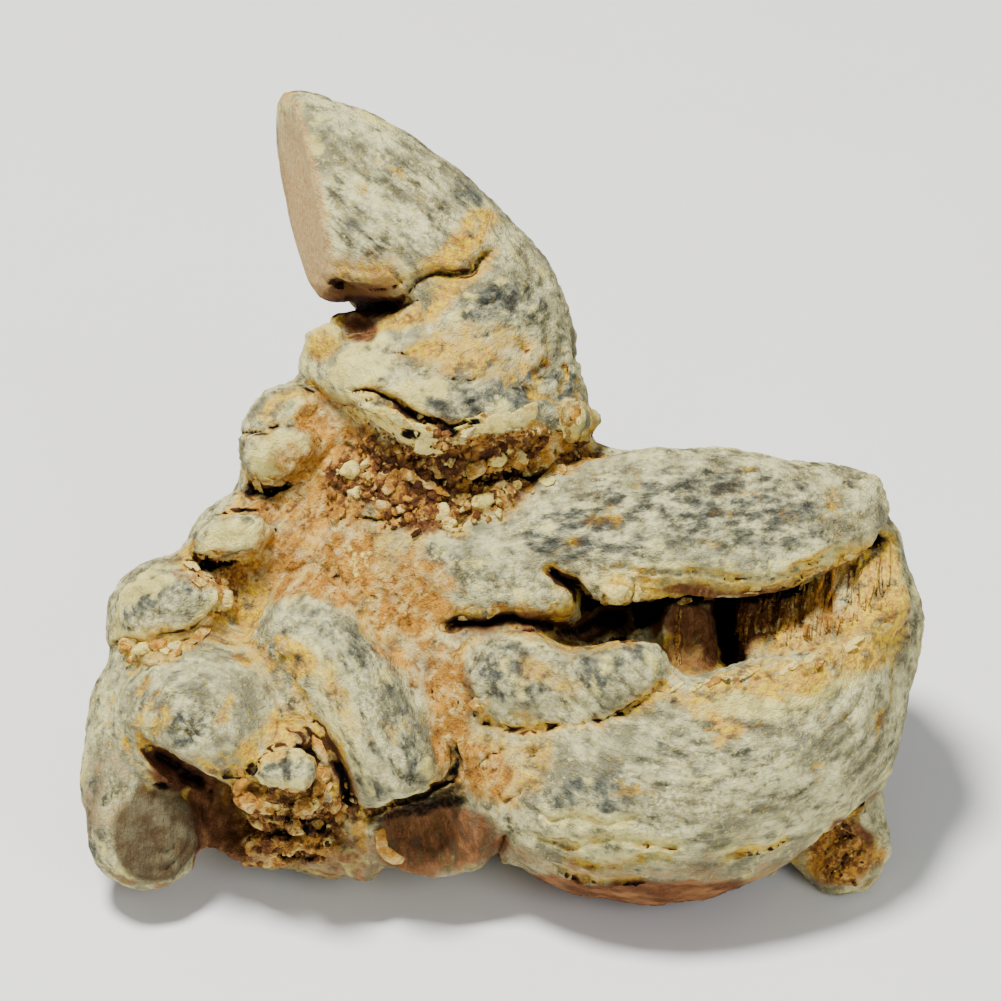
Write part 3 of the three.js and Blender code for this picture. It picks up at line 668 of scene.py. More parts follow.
# ---- Forms too crisp for the solid: tubes of knots (u, v, w, radius), added or taken out ----
ADDED = (
    # the collar's lower edge, which overhangs
    (0.8, [(-11.2, 8.8, 2.6, 1.5), (-8.8, 7.7, 5.8, 1.7), (-5.6, 6.4, 7.8, 1.6), (-2.6, 5.9, 8.5, 1.5),
           (1, 5.6, 7.9, 1.4), (4, 5, 5.2, 1.4)]),
    # crusts of the bosses
    (0.6, [(-15, 3.2, 3.2, 1.6), (-13.2, 3.4, 3.6, 1.7)]),
    (0.6, [(-18.2, -2.6, 3.2, 1.4), (-16.2, -2.2, 3.8, 1.6)]),
    (0.6, [(-22, -6.8, 4, 2), (-19.6, -6.4, 4, 1.7)]),
    # the bead, and the crumbs that it sits among
    (0.3, [(-16.2, -18.4, 7, 0.9), (-15.6, -19, 6.8, 0.8)]),
    (0.3, [(-11.2, -18.6, 7.6, 0.9), (-12.6, -19.4, 7, 0.9)]),
    (0.3, [(-11.2, 9.9, 3.4, 1.3), (-10.9, 10.1, 4.2, 1.2)]),
    (0.4, [(-15.6, -18.2, 6, 1.2), (-14.4, -19.4, 5, 1.2), (-12.4, -19.3, 5.6, 1.3),
           (-10.8, -18.4, 6.4, 1.2)]),
    (0.4, [(-15.6, -21.6, 2.8, 1.3), (-13.4, -21.2, 3.6, 1.2)]),
    (0.4, [(-11.6, -21.4, 4, 1.2), (-10, -21.8, 4.2, 1.3), (-8.6, -22.8, 3.4, 1.2)]),
    (0.4, [(-7.8, -20.8, 4.8, 1), (-7.4, -22, 4, 1)]),
    (0.5, [(-15.8, -15.8, 7.8, 0.9), (-14.2, -15.1, 8.2, 0.9), (-12.9, -15.1, 8.2, 0.7)]),
    # the partition in the split
    (0.8, [(9.4, -6, 0.4, 1.2), (9.4, -9, 1.6, 1.4), (9.8, -11.4, 4, 1.5)]),
    (0.8, [(12.4, -6, 0.2, 1.2), (12.4, -9, 1.4, 1.3), (12.6, -11.4, 4.4, 1.3)]),
    # the fibrous wall at the split's outer end, which slopes forward to the lobe's lip
    (0.5, [(19.8, -5.2, 2.8, 1), (19.6, -8.6, 5, 1)]),
    (0.5, [(21.5, -4.8, 3, 0.9), (21.5, -8.2, 6, 0.9)]),
    (0.5, [(23.2, -4, 3, 0.9), (23.4, -7.6, 6, 0.9)]),
    (0.5, [(24.3, -3.4, 2.4, 0.8), (24.8, -6.6, 4.6, 0.9)]),
    # the walls behind them, which keep the gaps between them shallow
    (0.8, [(16.2, -6.4, 0.6, 1.2), (16.4, -8, 2.8, 1.3), (16.8, -9.6, 5.2, 1.3)]),
    (0.8, [(18.2, -6, 1.4, 1.2), (18.2, -7.8, 3.6, 1.3), (18.4, -9.2, 5.8, 1.3)]),
    (0.8, [(20.6, -5, 2, 1.4), (20.6, -8.2, 4.2, 1.5)]),
    (0.8, [(22.4, -4.4, 2.2, 1.4), (22.4, -7.8, 5, 1.5)]),
    (0.8, [(24, -3.8, 1.8, 1.2), (24.2, -7, 4.4, 1.4)]),
    # the rounded lower rim under the finger
    (0.8, [(-6.4, -22.2, 3.6, 1.1), (-4, -22.6, 4.2, 1.2), (-1.8, -22.4, 4, 1.1)]),
    (0.6, [(-2, -19.8, 5.4, 0.9), (-1.4, -21.4, 4.8, 1)]),
    # the flake that stands out at the collar's right
    (0.3, [(4, 4.4, 3, 1.2), (5.9, 5.2, 2.8, 0.6)]),
    # the blade's lower edge where it meets the shelf
    (0.4, [(5.2, -4.9, 7.4, 0.8), (6.6, -5.6, 7.8, 0.9), (9, -5.6, 7.8, 0.8), (11, -5.4, 7.9, 0.7)]),
)
TAKEN = (
    (0.4, [(-7.4, 3, 7, 0.8), (-4.6, 2.5, 8, 1), (-1.6, 2.5, 8.4, 1), (1.4, 3.1, 7.8, 0.9),
           (3.4, 3.6, 6.4, 0.7)]),
    (0.3, [(-16.6, 0.8, 4.2, 0.7), (-14.2, 0.5, 4.8, 0.8), (-12.4, 1, 4.8, 0.6)]),
    (0.3, [(-19.8, -4.2, 4, 0.6), (-17.8, -4.6, 4.6, 0.8), (-15.6, -4.2, 4.8, 0.6)]),
    (0.3, [(-21.8, -16.2, 7, 0.4), (-20.4, -16.9, 6, 0.8), (-18.4, -18.8, 4.4, 1.6),
           (-17.4, -21.4, 2.8, 1.6)]),
    (0.3, [(-21, -16.6, 5.4, 0.5), (-19.6, -17.6, 4, 0.9), (-17.8, -19.4, 2.4, 1.5),
           (-17.2, -20.6, 1.8, 1.4)]),
    (0.3, [(-8.2, -20.7, 8.4, 0.6), (-5.8, -19.9, 6.8, 1.5), (-3.8, -19.2, 6.8, 1.5),
           (-2.2, -18.5, 7.8, 0.8)]),
    (0.2, [(-11.5, -15.9, 9.7, 0.3), (-11, -17, 9, 0.4), (-11.4, -18.1, 8.3, 0.35)]),
    (0.2, [(-15.4, -18.2, 7.6, 0.4), (-13.6, -18.7, 7.9, 0.45), (-11.8, -18.4, 8.2, 0.35)]),
    (0.3, [(14.5, -6, 3, 0.9), (14.4, -8, 4, 1), (14.3, -10.2, 5.6, 0.9)]),
    (0.3, [(5.4, -7.7, 7.4, 0.8), (8.6, -7.5, 6.6, 0.7)]),
    (0.3, [(11.6, -5.8, 5.8, 1.6), (11.6, -8, 6.4, 1.7), (11.8, -9.4, 7.6, 1.6)]),
    (0.3, [(10.6, -8, 7.2, 0.8), (10.9, -9.2, 8.2, 0.8)]),
)
BEAD = (0.15, [(-14.2, -16.9, 9, 1.25), (-12.8, -16.8, 9.6, 1.4)])  # set in the hollow ring round it


def shape_forms(field):
    for forms, side in ((ADDED, 1), (TAKEN, -1), ((BEAD,), 1)):
        for fillet, knots in forms:
            field.tube(knots, fillet, side)


def carved_field():
    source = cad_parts[NODE].data
    source.calc_loop_triangles()
    triangles = read(source.loop_triangles, "vertices", np.int32)
    field = Field(to_face(read(source.vertices, "co")), triangles.astype(np.uint32))
    field.values = blurred(field.values, FACET_BLUR)
    shape_forms(field)
    for cut in CUTS:
        field.chop(*cut)
    face = Face(field)
    for draw in DRAWINGS:
        draw(face)
    away = field.places[2] - field.front()[:, :, None]
    gate = smoothstep(*DRAWN_BEHIND, away) * smoothstep(*DRAWN_AHEAD, away)
    field.values -= (face.height[:, :, None] * gate).astype(np.float32)
    return field, face


def vertex_normals(points, quads):
    a, b, c, d = (points[quads[:, k]] for k in range(4))
    face_normal = np.cross(c - a, d - b)
    shares = (np.repeat(face_normal[:, k], 4) for k in range(3))
    total = np.stack([np.bincount(quads.ravel(), share, len(points)) for share in shares], -1)
    return total / np.maximum(np.linalg.norm(total, axis=1, keepdims=True), 1e-12)


def on_cut(points, cut):
    """1 on a face cut flat, fading to 0 at its edge."""
    point, normal, reach = cut
    offset = points - point
    depth = offset @ (np.array(normal) / np.linalg.norm(normal))
    return smoothstep(-0.5, -0.2, depth) * smoothstep(reach, reach - 0.6, np.linalg.norm(offset, axis=1))


def closed_in(field, points, normals):
    """How closed in each point of the skin is, from 0 in the open to 1 deep in a crack."""
    total = 0
    for reach, weight in FEELERS:
        clear = sampled(field.values, field.corner, points + reach * normals)
        total = total + weight * np.clip(1 - clear / reach, 0, 1)
    return total


def zone(points, centre, radii, soft=0.5, stray=0.25):
    """1 within an egg-shaped zone, fading to 0 outside it, with an uneven edge."""
    d = np.linalg.norm((points - centre) / radii, axis=1)
    return smoothstep(1 + soft, 1 - soft, d + stray * cloudy(points, 3, 90, octaves=2))


# ---- Wrinkles, crusts and crumbs of the skin ----
def straight(points, along):
    """Coordinates along and across a direction of the face plane."""
    c, s = np.array(along, float) / np.hypot(*along)
    u, v, w = points.T
    return np.stack([c * u + s * v, -s * u + c * v, w], -1)


def ringed(points, centre, size):
    """Coordinates round and away from a centre on the face plane; size is a usual distance from it."""
    u, v, w = points.T
    u, v = u - centre[0], v - centre[1]
    return np.stack([size * np.arctan2(v, u), np.hypot(u, v), w], -1)


def spoked(points, centre, size):
    """The coordinates of ringed, for wrinkles that run away from the centre."""
    return ringed(points, centre, size)[:, (1, 0, 2)]


# where the bark's wrinkles run which way: zone centre, zone radii, depth, coordinates and their course
WRINKLES = (
    ((-7, 17, 1), (8, 9, 10), 0.22, straight, (-0.75, 0.65)),
    ((0, 8, 0), (7, 6, 9), 0.34, straight, (0.85, 0.5)),
    ((14, -15, 0), (15, 11, 14), 0.36, ringed, (13, -4), 12),
    ((10, -1, 7), (15, 4.4, 4.5), 0.3, straight, (1, 0.05)),
    ((-18.5, -13, 4), (6.5, 5, 7), 0.26, ringed, (-19.2, -14.2), 3),
    ((-8, -13, 7), (4.6, 6.5, 4.5), 0.18, straight, (0.4, -0.9)),
    ((-23, -19, 2), (4.5, 6, 6), 0.16, straight, (0.1, 1)),
    ((20.5, -7, 3), (5.6, 3.4, 4), 0.6, straight, (0.25, 1)),
    ((11.6, -8.8, 4.4), (2.2, 3, 3), 0.5, straight, (0.1, 1)),
    ((4, -9, -10), (24, 13, 7), 0.5, spoked, (0, 14), 13),
    ((2, -21, -8), (26, 6, 8), 0.6, straight, (1, 0.15)),
    ((-19, -5, -5), (8, 11, 6), 0.55, straight, (0.35, 1)),
    ((-11.6, -2.6, 5), (5, 6.4, 4), 0.42, straight, (0.6, 0.8)),
    ((-6.4, -5, 6), (3.4, 4.6, 4), 0.36, straight, (0.7, 0.7)),
    ((-1, -17, 6.4), (4, 3.6, 4), 0.3, straight, (0.15, 1)),
    ((-4, -21.4, 4.4), (4.4, 2.4, 4), 0.16, straight, (-0.2, 1)),
)
CRUSTS = (  # torn, granular bark: zone centre, zone radii, height of its crumbs
    ((-5, 1.4, 6), (6, 3.4, 5), 1),
    ((-10.6, 0.6, 4), (3.4, 5.4, 5), 0.22),
    ((-11.4, -4, 4), (4.4, 3.4, 4), 0.16),
    ((-14.6, 0, 3), (2, 1.6, 4), 0.4),
    ((-17.5, -4.6, 3), (3, 1.3, 4), 0.5),
    ((-5.6, -6.6, 6), (2.6, 4, 4), 0.16),
    ((-3.2, -12.2, 7), (1.5, 5, 4), 0.2),
    ((-0.8, -16.8, 7), (2.6, 1.8, 4), 0.25),
    ((-13, -20, 4), (4.4, 3.2, 5), 0.7),
    ((1.6, 3, 7), (5, 1.7, 4), 0.8),
    ((21.6, -22.6, 1.4), (2.6, 2.6, 2), 0.6),
)
CRUMBS = ((1.6, 0.4, 80), (0.9, 0.34, 84), (0.5, 0.2, 88))  # size, height and salt of each layer


def grain_of(points):
    """Coordinates along the wrinkles of the strongest zone, its share, and how deep its wrinkles are."""
    along = points.copy()
    top, second, deep = np.zeros((3, len(points)))
    for centre, radii, depth, coordinates, *course in WRINKLES:
        share = zone(points, centre, radii)
        wins = share > top
        second = np.where(wins, top, np.maximum(second, share))
        along = np.where(wins[:, None], coordinates(points, *course), along)
        deep = np.where(wins, depth, deep)
        top = np.where(wins, share, top)
    share = top - second
    back = smoothstep(-1, -4, points[:, 2])
    return along, share + back * (smoothstep(0, 0.3, share) - share), deep


def crusted_at(points):
    share, height = np.zeros(len(points)), np.zeros(len(points))
    for centre, radii, size in CRUSTS:
        here = zone(points, centre, radii, stray=0.5)
        share = np.maximum(share, here)
        height = np.maximum(height, here * size)
    return share, height


def crumbs_at(points):
    """How far crumbs lift each point, how high it is on its crumb, and how much of a crust is there."""
    crust, height = crusted_at(points)
    keep = height > 0.01
    lift, crumb = np.zeros(len(points)), np.full(len(points), 0.5)
    pile = 0
    for size, tall, salt in CRUMBS:
        strayed = points[keep] + 0.25 * size * noise(points[keep], size, salt + 3)[:, None]
        near, far, number = cells(strayed, size, salt)
        pile = pile + tall * (number * smoothstep(0.0, 0.35, far - near) - 0.3)
    lift[keep] = height[keep] * pile
    crumb[keep] = (0.55 + 0.45 * height[keep]) * pile + 0.66 - 0.3 * height[keep]
    return lift, crumb, crust


def wrinkle(points, normals):
    """How far each point of the skin moves outward, how deep it lies in a wrinkle, how much of a crust
    is there, and how high the point is on its crumb. All but the first run from about 0 to 1."""
    rise = 0.22 * cloudy(points, 3.4, 1, octaves=2) + 0.2 * noise(points, 6.5, 2)
    along, share, depth = grain_of(points)
    ridged = ridges(along, (3.2, 0.95, 2), 40, 0.6)
    rise += share * depth * (ridged - 0.6)
    plain = ridges(points + 0.6 * normals, 1.6, 60, 0.45)
    rise += (1 - share) * 0.24 * (plain - 0.6)
    valley = 1 - np.where(share > 0.5, ridged, plain)
    near, far, _ = cells(points, 1.1, 70)
    net = np.minimum(far - near, 0.3) / 0.3
    rise += 0.07 * (net - 0.7)
    valley = np.maximum(valley, 0.7 * (1 - net))

    back = smoothstep(-2, -6, points[:, 2])
    folds = ridges(points, (5, 3, 5), 50, 0.5, octaves=2)
    rise += 0.55 * back * (folds - 0.6)
    valley = np.maximum(valley, 0.9 * back * smoothstep(0.35, 0.05, folds))

    lift, crumb, crust = crumbs_at(points)
    rise += lift
    for cut in CUTS:
        rise *= 1 - 0.8 * on_cut(points, cut)
    return rise, valley, crust, crumb


# ---- Meshes, and what is stored on their corners ----
def mesh_object(name, points, faces, material):
    mesh = bpy.data.meshes.new(name)
    mesh.from_pydata(to_world(points).tolist(), [], [list(f) for f in faces])
    mesh.update()
    obj = bpy.data.objects.new(name, mesh)
    bpy.context.scene.collection.objects.link(obj)
    mesh.materials.append(material)
    shade_smooth(mesh)
    return obj


def shade_smooth(mesh):
    mesh.polygons.foreach_set("use_smooth", np.ones(len(mesh.polygons), bool))


def read(items, name, kind=np.float32):
    """A property of three numbers of each vertex or triangle."""
    values = np.empty(3 * len(items), kind)
    items.foreach_get(name, values)
    return values.reshape(-1, 3)


def corner_places(obj):
    return to_face(read(obj.data.vertices, "co"))


def corner_normals(obj):
    return read(obj.data.vertex_normals, "vector") @ AXES.T


def decimate(obj, most):
    """Brings a mesh down to the most triangles it may have."""
    obj.data.calc_loop_triangles()
    count = len(obj.data.loop_triangles)
    if count > most:
        modifier = obj.modifiers.new("fewer", "DECIMATE")
        modifier.ratio = most / count
        modifier.use_collapse_triangulate = True
        graph = bpy.context.evaluated_depsgraph_get()
        made = bpy.data.meshes.new_from_object(obj.evaluated_get(graph))
        obj.modifiers.clear()
        old, obj.data = obj.data, made
        bpy.data.meshes.remove(old)


def paint(obj, name, *channels):
    """Stores up to four values for each vertex as one colour attribute."""
    filled = [np.clip(c, 0, 1) * np.ones(len(obj.data.vertices)) for c in channels]
    filled += [np.zeros(len(obj.data.vertices))] * (4 - len(filled))
    attribute = obj.data.attributes.new(name, "FLOAT_COLOR", "POINT")
    attribute.data.foreach_set("color", np.stack(filled, -1).astype(np.float32).ravel())


def paint_grain(obj, along):
    """Stores the coordinates that streaks of colour follow."""
    attribute = obj.data.attributes.new("grain", "FLOAT_VECTOR", "POINT")
    attribute.data.foreach_set("vector", along.astype(np.float32).ravel())


# ---- Stains, painted shade and painted highlights of the skin ----
# stains and painted shade inside the split and the hollows, by name: centre, radii and strength
INNER = {
    "ochre": (
        ((22.6, -6.4, 4), (3.6, 4, 4), 1),
        ((18.4, -8.6, 5), (3, 1.6, 3), 1.2),
        ((11.8, -9.6, 5), (1.9, 2.2, 3), 1.6),
        ((-1.5, 9.4, 8), (4.8, 2, 5), 0.72),
        ((-9.4, 13.8, 4), (4, 1.5, 8), 0.8),
        ((21.8, -22.4, 1.4), (2.4, 2, 2.4), 0.9),
    ),
    "rust": (
        ((16, -7.8, 3), (2.4, 3, 3.4), 0.9),
        ((19, -6.6, 3.4), (2.6, 2, 3.4), 0.6),
        ((12.4, -10, 6.2), (1.5, 1.1, 2.6), 0.7),
        ((11.8, -7.8, 3.6), (2.4, 1.5, 2.4), 0.9),
        ((13.2, -8.6, 4), (0.7, 2.4, 3), 1.1),
        ((11.8, -9.6, 5), (2, 2.2, 3), 0.66),
        ((21.4, -5.8, 4), (2.4, 1.5, 4), 0.5),
        ((-17.4, -20.4, 1.6), (2.6, 3.6, 3), 1.3),
        ((-20.2, -17, 4.4), (2.4, 1.6, 3), 1),
        ((-4.2, -21.2, 4.4), (4.6, 2.9, 4), 0.76),
        ((-2.5, 8.8, 8), (5.4, 2.4, 5), 0.34),
        ((-24.6, -18.6, 2), (2.4, 4.2, 6), 0.45),
        ((-10.4, -22.8, 4), (4.2, 2.2, 5), 0.6),
        # the head's underside: brown that is partly painted shade
        ((-9.4, 13.1, 4), (3.4, 0.9, 8), 0.7),
        ((-9, 14.5, 4), (3.8, 1.7, 8), 0.45),
        # the great lobe's underside: brown that is partly painted shade
        ((8, -25.4, 2), (14, 2.3, 9), 0.85),
        ((7, -24.2, 2), (15, 3.6, 9), 0.52),
    ),
    # painted shade deep in the split and under the blade's edge, in the hollow beside the hanging rootlet's
    # cut face, and under the finger's lip
    "black": (
        ((14.4, -8, -1), (1, 3.6, 5), 1),
        ((16.4, -5.4, 1.6), (4.4, 1.2, 5), 1),
        ((11.8, -6, 2), (2.4, 1, 5), 0.9),
        ((8, -6.8, 2.4), (3, 1.4, 3.6), 1),
        ((-17.6, -19.4, 1), (1.7, 2, 2.4), 0.4),
        ((-4.6, -18.9, 5.6), (2.8, 0.7, 3), 0.8),
    ),
}
LIT = (  # walls where the painted shade of closed-in places is mostly lifted, so that their colour shows: centre, radii and strength
    ((11.8, -9, 5), (2.4, 3, 4), 0.8),
    ((17.6, -8.2, 4), (3.6, 2.6, 4), 0.8),
    ((22.4, -6.2, 4), (3.6, 4, 5), 0.8),
    ((-4, -21.4, 5), (4.6, 2.8, 4), 0.85),
    ((-17.2, -20.4, 2.4), (2.4, 3, 3.6), 0.45),
)


def fresh_cuts(field, p, n, cloud, fine):
    """How much each point is a fresh cut face, less on its rings and towards its edge."""
    cut = np.maximum(on_cut(p, STEM_CUT), on_cut(p, BACK_CUT))
    inset = -sampled(field.values, field.corner, p - 2.8 * n)
    outer = bell((inset - 1.3 - 0.3 * fine) / 0.3)
    inner = 0.5 * bell((inset - 2.3 - 0.3 * cloud) / 0.2)
    return cut * (1 - 0.45 * (outer + inner)) * smoothstep(0.1, 0.9, inset + 0.5 * fine)


def stain_skin(obj, field, face, front):
    """Works out each vertex's stains and painted shade, from how hollow the skin is there and what was drawn.
    """
    p, n = corner_places(obj), corner_normals(obj)
    hollow, deep = (-sampled(blurred(field.values, width), field.corner, p) for width in HOLLOW_BLURS)
    off_front = np.abs(p[:, 2] - sampled(front, field.corner, p))
    on_front = smoothstep(2.2, 1.2, off_front) * smoothstep(-0.1, 0.3, n[:, 2])
    cloud = cloudy(p, 5, 101)
    fine = cloudy(p, 1.4, 102, octaves=3)
    _, valley, crusted, crumb = wrinkle(p, n)
    along, share, _ = grain_of(p)
    closed = closed_in(field, p, n)
    for centre, radii, amount in LIT:
        closed = closed * (1 - amount * zone(p, centre, radii, 0.3))
    back = smoothstep(-0.5, -4, p[:, 2])
    # under: surfaces that face down; the rust they get below is partly painted shade
    under = smoothstep(0.2, -0.5, n @ AXES[:, 2] + 0.25 * cloud)

    ochre = smoothstep(0.12, 0.4, closed + 0.1 * fine + 0.1 * cloud) * smoothstep(0.75, 0.5, closed)
    ochre = np.maximum(ochre, 0.8 * smoothstep(0.02, 0.3, hollow + 0.12 * fine + 0.1 * cloud))
    ochre = np.maximum(ochre, 0.4 * smoothstep(0.15, 0.6, cloudy(p, 7, 103))) * (1 - 0.5 * back)
    # rust where the skin is closed in or deep in a hollow, and on surfaces facing down: brown dirt and
    # painted shade together
    rust = np.maximum(smoothstep(0.38, 0.66, closed + 0.1 * fine), smoothstep(0.9, 1.8, deep))
    rust = np.maximum(rust, 0.62 * under * smoothstep(-0.5, 0.3, fine + cloud))
    slate = 0.7 * smoothstep(0.1, 0.5, cloudy(p, 4.5, 104)) * smoothstep(0.2, 0.1, closed) * (1 - crusted)
    stain = {
        "ochre": ochre,
        "rust": rust,
        "slate": slate,
        # cream on convex ridges, where hollow is below 0: a painted highlight
        "cream": smoothstep(-0.06, -0.3, hollow) * smoothstep(-0.2, 0.4, fine),
        # painted shade where the skin is closed in or deep in a hollow
        "black": np.maximum(smoothstep(0.66, 0.86, closed), smoothstep(1.9, 2.9, deep)),
    }
    for name, grid in face.stain.items():
        stain[name] = np.maximum(stain[name], on_front * sampled(grid, field.corner, p))
        for centre, radii, amount in INNER.get(name, ()):
            stain[name] = np.maximum(stain[name], amount * zone(p, centre, radii, 0.3))

    black = stain.pop("black")
    paint(obj, "stain", *stain.values())
    paint(obj, "marks", black, fresh_cuts(field, p, n, cloud, fine), on_cut(p, HANGING_CUT), crusted)
    paint(obj, "relief", valley, crumb, share, closed)
    paint(obj, "side", back)
    paint_grain(obj, along)


# ---- Materials ----
class Nodes:
    """A new material, with short ways to add shader nodes and link them."""

    def __init__(self, name):
        self.material = bpy.data.materials.new(name)
        self.material.use_nodes = True
        self.tree = self.material.node_tree
        self.tree.nodes.clear()

    def put(self, socket, value):
        if isinstance(value, bpy.types.NodeSocket):
            self.tree.links.new(value, socket)
        else:
            socket.default_value = value

    def add(self, kind, *values, **settings):
        """A node with some settings, and with values or links for its first inputs."""
        node = self.tree.nodes.new("ShaderNode" + kind)
        for name, setting in settings.items():
            setattr(node, name, setting)
        for socket, value in zip(node.inputs, values):
            self.put(socket, value)
        return node

    def shown(self, surface):
        """The finished material, with a shader as its surface."""
        self.add("OutputMaterial", surface.outputs[0])
        return self.material

    def attribute(self, name, output):
        return self.add("Attribute", attribute_name=name).outputs[output]

    def channels(self, name):
        """The first three values that paint stored under a name, and the fourth."""
        parts = self.add("SeparateColor", self.attribute(name, "Color"))
        return (*parts.outputs, self.attribute(name, "Alpha"))

    def stretched(self, vector, factors):
        return self.add("VectorMath", vector, factors, operation="MULTIPLY").outputs[0]

    def noise(self, vector, scale, detail=4, rough=0.55):
        """Noise in 3-D; the second input, W, is for 4-D alone."""
        return self.add("TexNoise", vector, 0, scale, detail, rough).outputs["Fac"]

    def cell_edges(self, vector, scale):
        """The distance from the edges of scattered cells."""
        return self.add("TexVoronoi", vector, 0, scale, feature="DISTANCE_TO_EDGE").outputs["Distance"]

    def math(self, operation, *values):
        return self.add("Math", *values, operation=operation).outputs[0]

    def plus(self, a, b, share):
        return self.math("MULTIPLY_ADD", b, share, a)

    def times(self, first, *others):
        for other in others:
            first = self.math("MULTIPLY", first, other)
        return first

    def between(self, value, a, b):
        """value eased from 0 at a to 1 at b."""
        ends = (a, b, 0, 1) if a < b else (b, a, 1, 0)
        return self.add("MapRange", value, *ends, interpolation_type="SMOOTHSTEP").outputs[0]

    def blend(self, share, a, b):
        """The number a where share is 0, and b where it is 1."""
        return self.plus(a, self.math("SUBTRACT", b, a), share)

    def edged(self, mask, texture, low, high, push):
        """A mask whose edge is broken up by a texture."""
        return self.between(self.plus(mask, self.math("SUBTRACT", texture, 0.5), push), low, high)

    def mix(self, share, a, b):
        """The colour a where share is 0, and b where it is 1."""
        node = self.add("Mix", share, data_type="RGBA")
        for socket, colour in zip(node.inputs[6:], (a, b)):
            self.put(socket, (*colour, 1) if isinstance(colour, tuple) else colour)
        return node.outputs[2]

    def layers(self, colour, *coats):
        """A colour under coats, each with its share, laid one over the other."""
        for share, coat in coats:
            colour = self.mix(share, colour, coat)
        return colour


def rgb(red, green, blue):
    """A screen colour from 0 to 255, as the linear colour that shaders use."""
    def linear(c):
        c /= 255
        return c / 12.92 if c <= 0.04045 else ((c + 0.055) / 1.055) ** 2.4
    return linear(red), linear(green), linear(blue)


BEIGE = rgb(134, 131, 102)
PALE = rgb(221, 216, 160)
CREAM = rgb(245, 230, 128)
SLATE = rgb(88, 93, 85)
INK = rgb(48, 48, 38)
OCHRE = rgb(190, 134, 54)
YELLOW = rgb(232, 196, 20)
STRAW = rgb(222, 194, 104)
TAN = rgb(170, 120, 44)
HONEY = rgb(202, 144, 52)
RUST = rgb(110, 69, 38)
CLAY = rgb(164, 118, 76)
UMBER = rgb(60, 34, 18)
# painted shade: the colour of cracks, hollows and the shadows under edges
NIGHT = rgb(7, 3, 2)
CUT = rgb(184, 138, 82)
SCAR = rgb(78, 60, 38)
DUN = rgb(140, 114, 74)
CUT_COVER = 0.94  # how fully the wood of a cut face hides the bark
BUMP_HEIGHT = 0.36  # of the shader's finest relief, mm


class Bark(Nodes):
    """The bark's shader, with what is stored on the root and the noises that break it up."""

    def __init__(self):
        super().__init__("root_bark")
        self.ochre, self.rust, self.slate, self.cream = self.channels("stain")
        self.black, self.cut, self.scar, self.crusted = self.channels("marks")
        self.valley, self.crumb, share, self.closed = self.channels("relief")
        self.back = self.channels("side")[0]
        mm = self.stretched(self.add("TexCoord").outputs["Object"], (1 / MM, 1 / MM, 1 / MM))
        grain = self.attribute("grain", "Vector")
        along = self.stretched(grain, (0.68, 1.4, 0.8))
        narrow = self.stretched(grain, (0.5, 1.25, 0.9))
        self.broad = self.noise(mm, 0.22, 3)
        self.patches = self.noise(mm, 0.34, 3, 0.5)
        self.middle = self.noise(mm, 0.7, 4)
        self.fine = self.noise(mm, 3.2, 4, 0.65)
        self.grit = self.noise(mm, 7.5, 3, 0.6)
        self.net = self.cell_edges(mm, 1.7)
        # the bark of the back is marked more broadly and softly than that of the face
        self.plain = self.blend(self.back, self.noise(mm, 1.0, 4, 0.6), self.noise(mm, 0.42, 4, 0.5))
        self.streaks = self.blend(self.back, self.noise(along, 1.05, 4, 0.6), self.noise(along, 0.6))
        self.flow = self.blend(share, self.plain, self.streaks)
        # nearly 0 on thin lines, where another noise crosses its middle value
        crossing = self.blend(share, self.noise(mm, 1.1, 3, 0.6), self.noise(narrow, 1.3, 3, 0.6))
        self.crossing = self.math("ABSOLUTE", self.math("SUBTRACT", crossing, 0.5))


def plain_bark(t):
    """Grey-beige bark with paler ridges, dark specks and creases, and darkened wrinkles, partly painted
    shade.
    """
    tone = t.blend(0.45, t.flow, t.patches)
    slate = t.edged(t.slate, t.middle, 0.3, 0.9, 1.2)
    gathered = t.between(t.plus(t.patches, t.slate, 0.16), 0.4, 0.6)
    specks = t.blend(t.back, t.between(t.fine, 0.66, 0.42), 0.8)
    inked = t.times(t.between(t.flow, 0.5, 0.36), specks, t.blend(t.back, 0.85, 0.45))
    dirt_and_shade = t.times(t.valley, t.blend(t.back, t.between(t.fine, 0.3, 0.6), 1.0))
    cream = t.edged(t.cream, t.flow, 0.3, 1.0, 1.4)
    return t.layers(
        BEIGE,
        (t.between(tone, 0.41, 0.6), PALE),
        (t.times(t.between(t.fine, 0.5, 0.68), t.blend(t.back, 0.6, 0.2)), CREAM),
        (t.times(slate, t.between(t.flow, 0.66, 0.42), 0.9), SLATE),
        (t.times(inked, t.plus(0.25, gathered, 0.75)), INK),
        (t.times(t.back, t.between(t.broad, 0.36, 0.56), 0.65), DUN),
        (t.times(t.between(t.crossing, 0.06, 0.0), t.between(t.middle, 0.4, 0.58), 0.14), INK),
        # wrinkle valleys darkened with ink and umber: partly painted shade
        (t.times(t.between(dirt_and_shade, 0.2, 0.9), t.blend(t.back, 0.65, 0.8)),
         t.mix(t.between(t.broad, 0.4, 0.6), INK, UMBER)),
        # cream on drawn patches and on convex ridges, where it is a painted highlight
        (t.times(cream, t.blend(t.back, 0.6, 0.2)), CREAM),
    )


def stained(t, colour):
    """Ochre and yellow in the folds, and brown where the bark is gone."""
    warm = t.layers(
        OCHRE,
        (t.between(t.fine, 0.38, 0.62), YELLOW),
        (t.times(t.between(t.flow, 0.52, 0.38), 0.8), RUST),
    )
    brown = t.layers(
        UMBER,
        # the brown is umber where the skin is closed in and rust and clay in the open: painted shade
        (t.times(t.between(t.flow, 0.28, 0.6), t.between(t.closed, 0.9, 0.2)), RUST),
        (t.times(t.between(t.streaks, 0.42, 0.72), t.between(t.closed, 0.6, 0.2), 0.66), CLAY),
    )
    ochre = t.edged(t.ochre, t.middle, 0.25, 1.1, 1.2)
    return t.layers(
        colour,
        (t.times(ochre, t.between(t.plain, 0.28, 0.48), 0.9), warm),
        (t.edged(t.rust, t.flow, 0.3, 0.8, 1.2), brown),
    )


